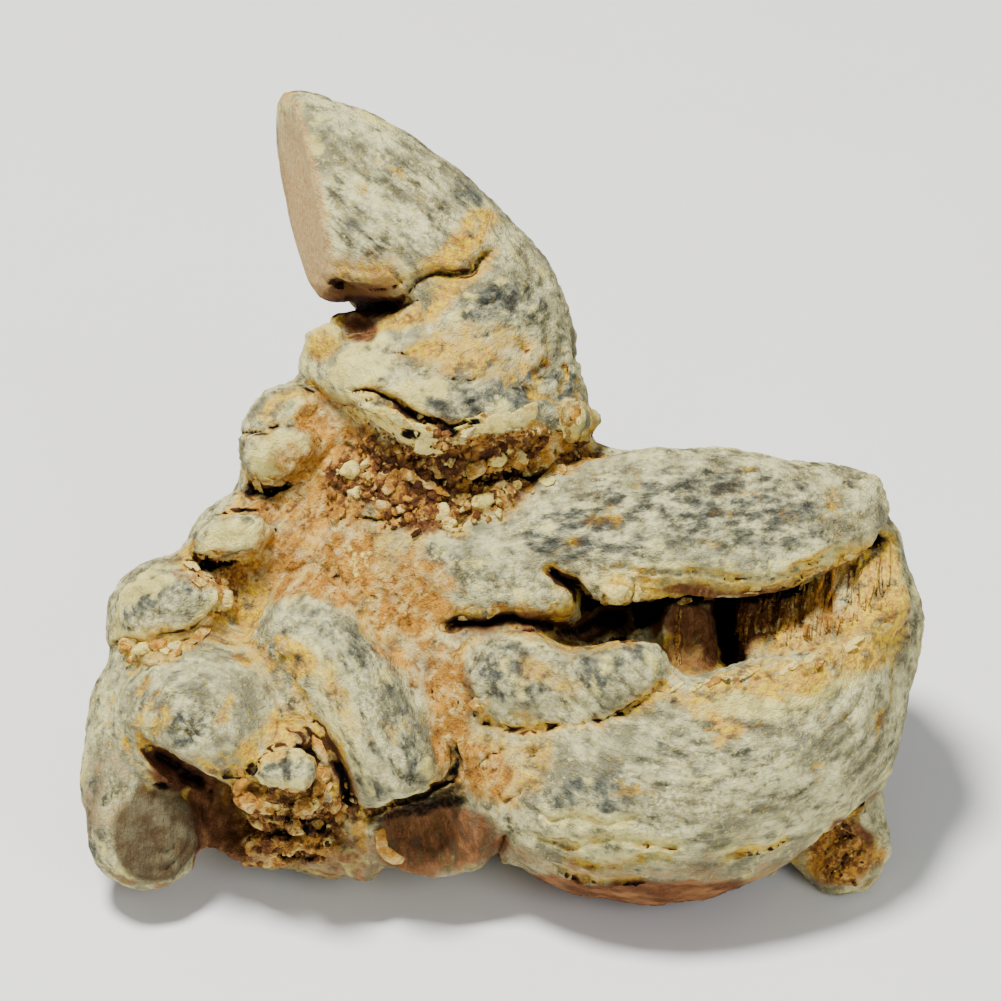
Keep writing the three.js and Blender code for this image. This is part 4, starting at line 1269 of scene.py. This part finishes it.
def crumbly(t, colour):
    """Crumbs: dark between them, tan on their sides and cream on top, partly painted shade and highlight."""
    height = t.plus(t.crumb, t.math("SUBTRACT", t.fine, 0.5), 0.9)
    crust = t.layers(
        UMBER,
        (t.between(height, 0.1, 0.34), RUST),
        (t.between(height, 0.3, 0.52), TAN),
        (t.times(t.between(height, 0.36, 0.6), t.between(t.middle, 0.46, 0.6)), HONEY),
        (t.times(t.between(height, 0.72, 1.0), 0.85), CREAM),
        (t.times(t.between(t.flow, 0.5, 0.64), t.between(height, 0.3, 0.5), 0.6), STRAW),
        (t.times(t.between(t.flow, 0.5, 0.38), t.between(t.fine, 0.64, 0.4), 0.58), RUST),
        (t.times(t.between(t.plain, 0.46, 0.64), t.between(height, 0.36, 0.66), 0.36), PALE),
        # umber where the skin is closed in: painted shade
        (t.times(t.between(t.closed, 0.35, 0.8), 0.65), UMBER),
    )
    return t.mix(t.edged(t.crusted, t.middle, 0.3, 0.9, 1.2), colour, crust)


def cut_and_cracked(t, colour):
    """The wood of cut faces, and the painted shade of cracks, hollows and overhangs."""
    fresh = t.mix(t.times(t.between(t.fine, 0.35, 0.65), 0.4), CUT, PALE)
    old = t.layers(
        SCAR,
        (t.times(t.between(t.middle, 0.42, 0.62), 0.35), BEIGE),
        (t.times(t.between(t.plain, 0.56, 0.42), 0.4), UMBER),
    )
    return t.layers(
        colour,
        (t.times(t.cut, CUT_COVER), fresh),
        (t.times(t.scar, CUT_COVER), old),
        (t.edged(t.black, t.fine, 0.35, 0.9, 0.6), NIGHT),
    )


def bark_bumps(t):
    height = t.plus(t.times(t.fine, 0.5), t.grit, 0.3)
    height = t.plus(height, t.flow, 0.8)
    height = t.plus(height, t.between(t.net, 0.0, 0.12), 0.04)
    height = t.plus(height, t.between(t.crossing, 0.0, 0.05), 0.12)
    node = t.add("Bump")
    node.inputs["Strength"].default_value = 1.0
    node.inputs["Distance"].default_value = BUMP_HEIGHT * MM
    t.put(node.inputs["Height"], height)
    return node.outputs["Normal"]


def bark_material():
    t = Bark()
    skin = t.add("BsdfPrincipled")
    t.put(skin.inputs["Base Color"], cut_and_cracked(t, crumbly(t, stained(t, plain_bark(t)))))
    t.put(skin.inputs["Roughness"], t.plus(0.72, t.fine, 0.3))
    skin.inputs["Specular IOR Level"].default_value = 0.12
    t.put(skin.inputs["Normal"], bark_bumps(t))
    return t.shown(skin)


# ---- The pieces ----
def build_skin(material):
    field, face = carved_field()
    front = field.front()
    points, quads = field.mesh()
    normals = vertex_normals(points, quads)
    if np.mean(np.einsum("ij,ij->i", normals, points - np.mean(points, axis=0))) < 0:
        quads, normals = quads[:, ::-1], -normals
    points = points + normals * wrinkle(points, normals)[0][:, None]
    height = points @ AXES[:, 2] + ORIGIN[2] / MM
    points -= np.minimum(height, 0)[:, None] * AXES[:, 2]
    skin = mesh_object("root_skin", points, quads, material)
    decimate(skin, MOST_TRIANGLES)
    shade_smooth(skin.data)
    stain_skin(skin, field, face, front)
    return skin


def dress(obj, tone, kind, black=0, ochre=0):
    """Stores the stains of small pieces: tone runs from dark brown at 0 to cream at 1."""
    paint(obj, "stain", ochre)
    paint(obj, "marks", black, 0, 0, kind)
    paint(obj, "relief", 0, tone, 0, 0)
    paint_grain(obj, corner_places(obj))


def ball_mesh(subdivisions):
    """Corners and triangles of a ball of radius 1."""
    shape = bmesh.new()
    bmesh.ops.create_icosphere(shape, subdivisions=subdivisions, radius=1)
    corners = np.array([v.co for v in shape.verts])
    faces = np.array([[v.index for v in f.verts] for f in shape.faces])
    shape.free()
    return corners, faces


class Pile:
    """Many small closed shapes that make one piece, and the tones of their corners."""

    def __init__(self):
        self.points, self.faces, self.tones = [], [], []

    def add(self, points, faces, tone):
        """Adds a shape with one tone, or with a tone for each corner."""
        self.faces.extend(tuple(len(self.points) + k for k in face) for face in faces)
        self.points.extend(points)
        self.tones.extend(np.broadcast_to(tone, len(points)))

    def piece(self, name, material):
        """The piece, its corners' places and their tones."""
        places = np.array(self.points)
        return mesh_object(name, places, self.faces, material), places, np.array(self.tones)


CRUMB_COUNT = 700
CRUMB_SIZE, CRUMB_SPREAD = 0.12, 0.3  # the least half length, and how much longer the longest are
CRUMB_TONES = ((0.16, 0.14), (0.3, 0.36), (0.44, 0.3), (0.62, 0.13), (0.88, 0.07))  # tone and its share


def build_crumbs(skin, material):
    """Loose-looking crumbs of bark and wood that stick to the crusts."""
    random = np.random.default_rng(SEED)
    ball, faces = ball_mesh(2)
    p, n = corner_places(skin), corner_normals(skin)
    chance = np.clip(crusted_at(p)[1] - 0.3, 0, None)
    picks = random.choice(len(p), CRUMB_COUNT, replace=False, p=chance / chance.sum())
    size = CRUMB_SIZE + CRUMB_SPREAD * random.random(CRUMB_COUNT) ** 3
    stretch = np.stack([np.ones(CRUMB_COUNT), random.uniform(0.55, 0.95, CRUMB_COUNT),
                        random.uniform(0.4, 0.75, CRUMB_COUNT)], -1)
    crumbs = ball[None] * (1 + 0.22 * random.normal(size=(CRUMB_COUNT, len(ball), 1)).clip(-1.6, 1.6))
    crumbs = crumbs * stretch[:, None] * size[:, None, None]
    turns = np.linalg.qr(random.normal(size=(CRUMB_COUNT, 3, 3)))[0]
    centres = p[picks] + 0.1 * size[:, None] * n[picks]
    crumbs = np.einsum("nvk,nkj->nvj", crumbs, turns) + centres[:, None]
    tones, shares = zip(*CRUMB_TONES)
    tone = random.choice(tones, CRUMB_COUNT, p=shares) + random.normal(0, 0.05, CRUMB_COUNT)
    pile = Pile()
    for crumb, shade in zip(crumbs, tone):
        pile.add(crumb, faces, shade)
    obj, _, tones = pile.piece("bark_crumbs", material)
    dress(obj, tones, 1)
    return obj


# crumbs set one by one: u, v, half length, half width, turn in degrees, tone
LUMPS = (
    # round the bead
    (-16.2, -17.6, 0.8, 0.4, 60, 0.62), (-15.8, -18.9, 0.9, 0.5, -30, 0.5),
    (-14.7, -19.3, 0.8, 0.45, 0, 0.72), (-13.4, -19.5, 0.8, 0.4, -10, 0.45),
    (-12.2, -19.1, 0.8, 0.45, 20, 0.66), (-11.3, -18.1, 0.6, 0.5, 70, 0.5), (-11, -16.9, 0.9, 0.4, 80, 0.7),
    (-11.3, -15.6, 0.8, 0.35, 120, 0.55), (-10.5, -19.1, 0.6, 0.4, 50, 0.7),
    (-10.1, -20, 0.5, 0.35, 80, 0.6), (-15, -20.5, 0.6, 0.35, -20, 0.36),
    (-13.1, -20.6, 0.6, 0.35, -30, 0.4), (-11.6, -20.4, 0.55, 0.35, 10, 0.5),
    # the bright crust under the grey boss, and its torn right edge
    (-23.5, -9.1, 0.6, 0.42, 20, 0.8), (-22.5, -9.4, 0.75, 0.45, 0, 0.95), (-21.4, -9.2, 0.6, 0.4, 10, 0.7),
    (-20.4, -9.2, 0.55, 0.36, -10, 0.9), (-22, -10.1, 0.55, 0.3, 0, 0.62),
    (-23.3, -10.1, 0.45, 0.3, 30, 0.8), (-17.5, -6.4, 0.65, 0.5, 40, 0.9),
    (-17.9, -5.2, 0.6, 0.4, 10, 0.75), (-18.6, -7.4, 0.5, 0.36, 30, 0.7),
    # the blade's left tip and the lumps in the undercut
    (-3.5, -0.7, 0.7, 0.5, 10, 0.95), (-2.4, 0, 0.65, 0.42, 30, 0.8), (-3.3, -1.5, 0.55, 0.4, 0, 0.95),
    (-1.2, 0, 0.65, 0.4, 15, 1), (0, 0.9, 0.6, 0.34, 20, 0.7), (-1.6, 2, 0.7, 0.5, 30, 0.7),
    (-0.2, 2.5, 0.65, 0.45, 10, 0.95), (1.2, 2.6, 0.5, 0.5, 60, 0.85), (2.7, 2.7, 0.75, 0.6, 80, 0.7),
    (1.9, 1.9, 0.5, 0.34, 20, 0.9), (4, 3.4, 0.6, 0.5, 60, 0.6),
    # among the torn bark
    (-9.4, 2, 0.6, 0.5, 0, 0.95), (-8.2, 1.5, 0.5, 0.42, 40, 0.8), (-9.1, 0.5, 0.5, 0.4, 0, 1),
    (-6.9, 0.9, 0.6, 0.4, 20, 0.6), (-7.4, -0.4, 0.55, 0.4, -20, 0.55), (-5.7, 1.6, 0.5, 0.34, 0, 0.7),
    (-4.6, -0.8, 0.6, 0.4, 20, 0.45), (-10.3, -1, 0.6, 0.4, 50, 0.62), (-6, 2.8, 0.5, 0.34, 0, 0.4),
    # the block on the blade's rim, the nodule's yellow crumb and the one beside the finger
    (7.2, -5.7, 1, 0.62, 5, 1), (8.5, -5.7, 0.4, 0.5, 0, 0.8), (-1.4, -12.8, 0.5, 0.42, 0, 0.7),
    (-13.6, -9.2, 0.4, 0.5, 60, 0.66),
)


def build_lumps(touch, material):
    """The larger crumbs, each set where the photo shows one."""
    random = np.random.default_rng(SEED + 3)
    ball, faces = ball_mesh(3)
    ball = ball / (np.abs(ball) ** 4).sum(1, keepdims=True) ** 0.12  # a little squarer
    pile = Pile()
    for u, v, long, wide, turn, tone in LUMPS:
        w = touch(u, v)
        if w is None:
            continue
        tumble = np.linalg.qr(random.normal(size=(3, 3)))[0]
        dents = cloudy(ball * 0.5 + random.uniform(0, 90), 0.5, 130, octaves=3)
        lump = (ball @ tumble) * (1 + 0.7 * dents)[:, None]
        x, y, z = (0.94 * lump * (long, wide, 0.7 * wide)).T
        lump = np.stack([*turned(x, y, math.radians(turn)), z], -1)
        pile.add(lump + (u, v, w + 0.1 * wide), faces, tone)
    lumps, places, tones = pile.piece("bark_lumps", material)
    dress(lumps, tones + 0.3 * cloudy(places, 0.7, 131), 1)
    return lumps


class Touch:
    """Finds where a line along w, from in front of the root, meets its finished skin."""

    def __init__(self, skin):
        skin.data.calc_loop_triangles()
        faces = read(skin.data.loop_triangles, "vertices", np.int32)
        self.tree = BVHTree.FromPolygons(corner_places(skin).tolist(), faces.tolist())

    def __call__(self, u, v):
        hit = self.tree.ray_cast(Vector((u, v, IN_FRONT)), Vector((0, 0, -1)))[0]
        return None if hit is None else hit.z


# bark flakes along broken edges: the edge, how many, their size, and their tone
EDGES = (
    ([(-4, -0.9), (-1.2, 0.4), (1.6, 0.9), (4, 1.8)], 9, 0.75, 0.8),
    ([(6, -6.1), (10, -6.2), (15, -6.1), (19, -5.1), (23, -3.2)], 16, 0.55, 0.75),
    ([(-24, -9.3), (-22, -9.4), (-20, -9.2), (-18, -7.6)], 9, 0.7, 0.75),
    ([(-19.4, -4.2), (-17.6, -5.4), (-17.2, -6.8)], 6, 0.8, 0.85),
    ([(-19.4, -3.2), (-17, -3.5), (-15, -3)], 6, 0.6, 0.75),
    ([(-16, 1.6), (-14.4, 1), (-12.6, 1.6)], 6, 0.7, 0.75),
    ([(-8.8, 5.5), (-7, 4.7), (-5, 3.7), (-3.4, 3.9), (-1.4, 4.6), (1, 5)], 12, 1, 0.95),
    ([(3, 3.6), (4.4, 4.6), (5.2, 5.8)], 5, 0.8, 0.7),
    ([(-2, -7), (1, -6.8), (4, -6.6)], 6, 0.6, 0.7),
    ([(-16.2, -16.8), (-16, -18.6), (-14.4, -19.4), (-12, -19.2), (-10.6, -18)], 10, 0.7, 0.7),
    ([(11, -11.8), (14, -10.9), (18, -10.4), (21, -9.4), (25, -7.8)], 12, 0.6, 0.95),
    ([(-9, 1), (-6, 1.6), (-3, 0.4), (0, 2.4)], 14, 0.6, 0.6),
)
FLAKE_SIDES = 11
FLAKE_RINGS = (0.0, 0.3, 0.55, 0.75, 0.9, 1.0)
CHIP_LONG, CHIP_WIDE = (0.5, 1.2), (0.25, 0.55)  # least and most half length and width, for size 1
# larger plates, drawn one by one: outline, how far it stands off and its tone
PLATES = (
    ([(-8.8, 5.9), (-7.2, 5.7), (-5.6, 4.9), (-4.2, 4.5), (-4.6, 3.2), (-6.2, 3.7), (-8, 5)], 0.3, 1.2),
    ([(-4.9, 4.5), (-3, 4.5), (-1.4, 5.1), (-1.2, 4.2), (-2.8, 3.5), (-4.6, 2.9), (-5.4, 3.3)], 0.35, 1.2),
    ([(-1.6, 5.2), (0.4, 5.4), (2.2, 6.2), (2, 5), (0.4, 4.3), (-1.4, 4.3)], 0.25, 1),
    ([(3.6, 5.8), (4.8, 6.4), (5.8, 5.6), (5.4, 4.2), (4, 4)], 0.2, 0.9),
    ([(-7.9, -20.8), (-7.3, -20.7), (-7, -21.8), (-6, -22.6), (-6.6, -23), (-7.7, -22.3)], 0.35, 0.62),
)
PLATE_THICK = 0.35
# dark spots on the flakes: centre and half sizes
FLAKE_MARKS = (((-5.6, 4.15), (0.7, 0.34)), ((-3.3, 4.25), (0.75, 0.42)), ((-1.6, 4.9), (0.5, 0.22)))


def flake_mesh(outline, lift, thick, curl, touch):
    """A closed curled plate on the plane that fits the skin under it best, or nothing off the root's edge."""
    outline = np.asarray(outline, float)
    centre = outline.mean(0)
    spots = np.vstack([outline, (outline + centre) / 2])
    depths = [touch(*spot) for spot in spots]
    if None in depths:
        return [], []
    plane = np.linalg.lstsq(np.c_[spots, np.ones(len(spots))], np.array(depths), rcond=None)[0]
    n = len(outline)
    points, faces = [], []
    for side in (1, -1):
        for ring in FLAKE_RINGS:
            for k, corner in enumerate(outline):
                u, v = centre + ring * (corner - centre)
                off = lift * (1 - 0.5 * ring**4) if side > 0 else lift - thick
                bend = curl * ring**2 * math.cos(2 * math.pi * k / n)
                points.append((u, v, plane[0] * u + plane[1] * v + plane[2] + off + bend))
    bottom = len(FLAKE_RINGS) * n
    for i in range(n):
        j = (i + 1) % n
        for k in range(len(FLAKE_RINGS) - 1):
            a, b = k * n, bottom + k * n
            faces.append((a + i, a + n + i, a + n + j, a + j))
            faces.append((b + j, b + n + j, b + n + i, b + i))
        a, b = bottom - n, 2 * bottom - n
        faces.append((a + i, b + i, b + j, a + j))
    return points, faces


def chip(place, along, size, random):
    """The uneven outline of a chip that lies along an edge."""
    angle = math.atan2(along[1], along[0]) + random.normal(0, 0.35)
    long, wide = size * random.uniform(*CHIP_LONG), size * random.uniform(*CHIP_WIDE)
    far = 1 + 0.2 * random.normal(size=FLAKE_SIDES).clip(-1.5, 1.5)
    turn = 2 * np.pi * np.arange(FLAKE_SIDES) / FLAKE_SIDES
    outline = turned(long * far * np.cos(turn), wide * far * np.sin(turn), angle)
    return np.stack(outline, -1) + place + random.normal(0, 0.22 * size, 2)


def build_flakes(touch, material):
    """Thin curled plates of bark that lift from the edges where it broke."""
    random = np.random.default_rng(SEED + 2)
    pile = Pile()
    for line, count, size, tone in EDGES:
        line = through(line, 12)
        for k in range(count):
            at = min(int((k + random.random()) / count * (len(line) - 1)), len(line) - 2)
            outline = chip(line[at], line[at + 1] - line[at], size, random)
            curl = size * random.uniform(-0.1, 0.25)
            flake = flake_mesh(outline, 0.2 * size, 0.4 * size, curl, touch)
            pile.add(*flake, tone + random.normal(0, 0.12))
    for outline, lift, tone in PLATES:
        line = through([*outline, outline[0]], 5)[:-1]
        line += random.normal(0, 0.05, line.shape)
        pile.add(*flake_mesh(line, lift, lift + PLATE_THICK, 0.12, touch), tone)
    flakes, places, tones = pile.piece("bark_flakes", material)
    black = 0
    for centre, size in FLAKE_MARKS:
        d = np.linalg.norm((places[:, :2] - centre) / size, axis=1)
        black = np.maximum(black, smoothstep(1.3, 0.7, d))
    dress(flakes, tones + 0.2 * cloudy(places, 0.9, 120), 1, black)
    return flakes


# torn fibres: the line where they start and the line where they end, how many, how thick,
# darkest and palest tone
FIBRES = (
    ([(14.9, -9.2), (18, -9), (21, -8.4), (24.6, -6.2)], [(15.3, -5.6), (18.6, -5), (21.6, -3.9), (24.8, -2)],
     110, 0.17, 0.34, 0.85),
    ([(11.2, -10.4), (13, -10.2)], [(11.2, -7), (13, -6.6)], 20, 0.12, 0.34, 0.55),
)
FIBRE_STEPS = 8
FIBRE_SIDES = 5
FIBRE_TURN = 2  # the most the skin may rise or fall between two steps of a fibre
FIBRE_DROP = 0.3  # the most a fibre falls between two steps
FIBRE_BEGIN, FIBRE_END = (0, 0.35), (0.6, 1)  # shares of the way where strands begin and end
FIBRE_THICK = (0.5, 1.4)  # thinnest and thickest, as shares of the thickness above


def fibre_line(a, b, drift, phase, begin, end, touch):
    """Places on the skin from begin to end of the way from a to b, evenly spread, or nothing."""
    line = []
    for t in np.linspace(end, begin, FIBRE_STEPS):  # from deep in the wall, until the skin turns away
        place = a + t * (b - a) + drift * math.sin(9 * t + phase)
        w = touch(*place)
        if w is None or (line and abs(w - line[-1][2]) > FIBRE_TURN):
            break
        if line:
            w = max(w, line[-1][2] - FIBRE_DROP)
        line.append((*place, w))
    if len(line) < 4:
        return None
    line = np.array(line[::-1])
    spread = np.linspace(0, len(line) - 1, FIBRE_STEPS)
    return np.stack([np.interp(spread, np.arange(len(line)), line[:, k]) for k in range(3)], -1)


def fibre_mesh(line, radius):
    """A closed strand along a line, thickest at its middle."""
    turn = 2 * np.pi * np.arange(FIBRE_SIDES) / FIBRE_SIDES
    across = np.cross(line[-1] - line[0], (0, 0, 1))
    across /= np.linalg.norm(across)
    out = np.array((0, 0, 0.7))
    points, faces = [], []
    for j, centre in enumerate(line):
        thick = radius * (0.35 + 0.65 * math.sin(math.pi * (0.12 + 0.76 * j / (FIBRE_STEPS - 1))))
        points.extend(centre + thick * (math.cos(x) * across + math.sin(x) * out) for x in turn)
    for ring in FIBRE_SIDES * np.arange(FIBRE_STEPS - 1):
        for i in range(FIBRE_SIDES):
            after = (i + 1) % FIBRE_SIDES
            faces.append((ring + i, ring + after, ring + FIBRE_SIDES + after, ring + FIBRE_SIDES + i))
    last = (FIBRE_STEPS - 1) * FIBRE_SIDES
    faces.append(range(FIBRE_SIDES - 1, -1, -1))
    faces.append(range(last, last + FIBRE_SIDES))
    return points, faces


def build_fibres(touch, material):
    """Strands of torn wood that lie along the walls of the split."""
    random = np.random.default_rng(SEED + 1)
    pile = Pile()
    for starts, ends, count, size, dark, pale in FIBRES:
        lines = through(starts, 16), through(ends, 16)
        for k in range(count):
            share = (k + random.uniform(0, 0.9)) / count
            a, b = (line[int(share * (len(line) - 1))] for line in lines)
            begin, end = random.uniform(*FIBRE_BEGIN), random.uniform(*FIBRE_END)
            radius = size * random.uniform(*FIBRE_THICK)
            loose = random.uniform(0, 0.5) ** 2
            line = fibre_line(a, b, random.normal(0, 0.12, 2), k, begin, end, touch)
            if line is None:
                continue
            line[:, 2] += loose * np.linspace(1, 0, FIBRE_STEPS) ** 2 - 0.2 * radius
            tone = dark + (pale - dark) * random.uniform(0.6 * share, 0.4 + 0.6 * share)
            # each strand darkens towards its upper end in the wall, under the blade: painted shade
            fall = np.linspace(tone, tone - 0.3 * (1 - share), FIBRE_STEPS)
            pile.add(*fibre_mesh(line, radius), np.repeat(fall, FIBRE_SIDES))
    fibres, places, tones = pile.piece("torn_fibres", material)
    yellow = smoothstep(19.5, 23, places[:, 0])
    dress(fibres, tones, 1 - 0.6 * yellow, ochre=yellow)
    return fibres


# ---- Stage, light and camera: sizes in metres, but the sensor's in mm ----
VIEW_ELEVATION = math.radians(36)
VIEW_DISTANCE = 0.38
VIEW_WIDTH = 0.064  # width of the picture at the root
SENSOR = 36.0
FLOOR_HALF = 1.5
SKY_COLOUR = (0.93, 0.96, 1, 1)
SKY_STRENGTH = 0.27
SOFTBOXES = (  # name, place, width, power and colour
    ("key", (-0.13, -0.03, 0.5), 0.12, 5.4, (1, 0.98, 0.95)),
    ("fill", (0.24, -0.4, 0.3), 0.3, 1.2, (0.95, 0.97, 1)),
)


def build_stage():
    t = Nodes("floor_paper")
    grain = t.noise(t.add("NewGeometry").outputs["Position"], 60, 3)
    surface = t.add("BsdfPrincipled")
    t.put(surface.inputs["Base Color"], t.mix(grain, rgb(238, 238, 236), rgb(244, 244, 243)))
    surface.inputs["Roughness"].default_value = 0.85
    far = FLOOR_HALF
    mesh = bpy.data.meshes.new("floor")
    mesh.from_pydata([(-far, -far, 0), (far, -far, 0), (far, far, 0), (-far, far, 0)], [], [(0, 1, 2, 3)])
    mesh.materials.append(t.shown(surface))
    floor = bpy.data.objects.new("floor", mesh)
    bpy.context.scene.collection.objects.link(floor)


def aimed(name, data, place, back):
    """Adds a light or a camera at a place. It looks the other way from back."""
    obj = bpy.data.objects.new(name, data)
    obj.location = place
    obj.rotation_euler = (-back).to_track_quat("-Z", "Y").to_euler()
    bpy.context.scene.collection.objects.link(obj)
    return obj


def build_light():
    world = bpy.data.worlds.new("studio")
    world.use_nodes = True
    background = world.node_tree.nodes["Background"]
    background.inputs["Color"].default_value = SKY_COLOUR
    background.inputs["Strength"].default_value = SKY_STRENGTH
    bpy.context.scene.world = world
    for name, place, size, power, colour in SOFTBOXES:
        light = bpy.data.lights.new(name, "AREA")
        light.shape = "DISK"
        light.size = size
        light.energy = power
        light.color = colour
        aimed(name, light, place, Vector(place) - Vector(ORIGIN))


def build_camera():
    camera = bpy.data.cameras.new("camera")
    camera.sensor_width = SENSOR
    camera.lens = SENSOR * VIEW_DISTANCE / VIEW_WIDTH
    back = Vector((0, -math.cos(VIEW_ELEVATION), math.sin(VIEW_ELEVATION)))
    bpy.context.scene.camera = aimed("camera", camera, Vector(ORIGIN) + back * VIEW_DISTANCE, back)


build_camera()
build_stage()
build_light()
bark = bark_material()
skin = build_skin(bark)
touch = Touch(skin)
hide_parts(NODE)
for piece in (skin, build_crumbs(skin, bark), build_lumps(touch, bark), build_flakes(touch, bark),
              build_fibres(touch, bark)):
    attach(piece, "root")
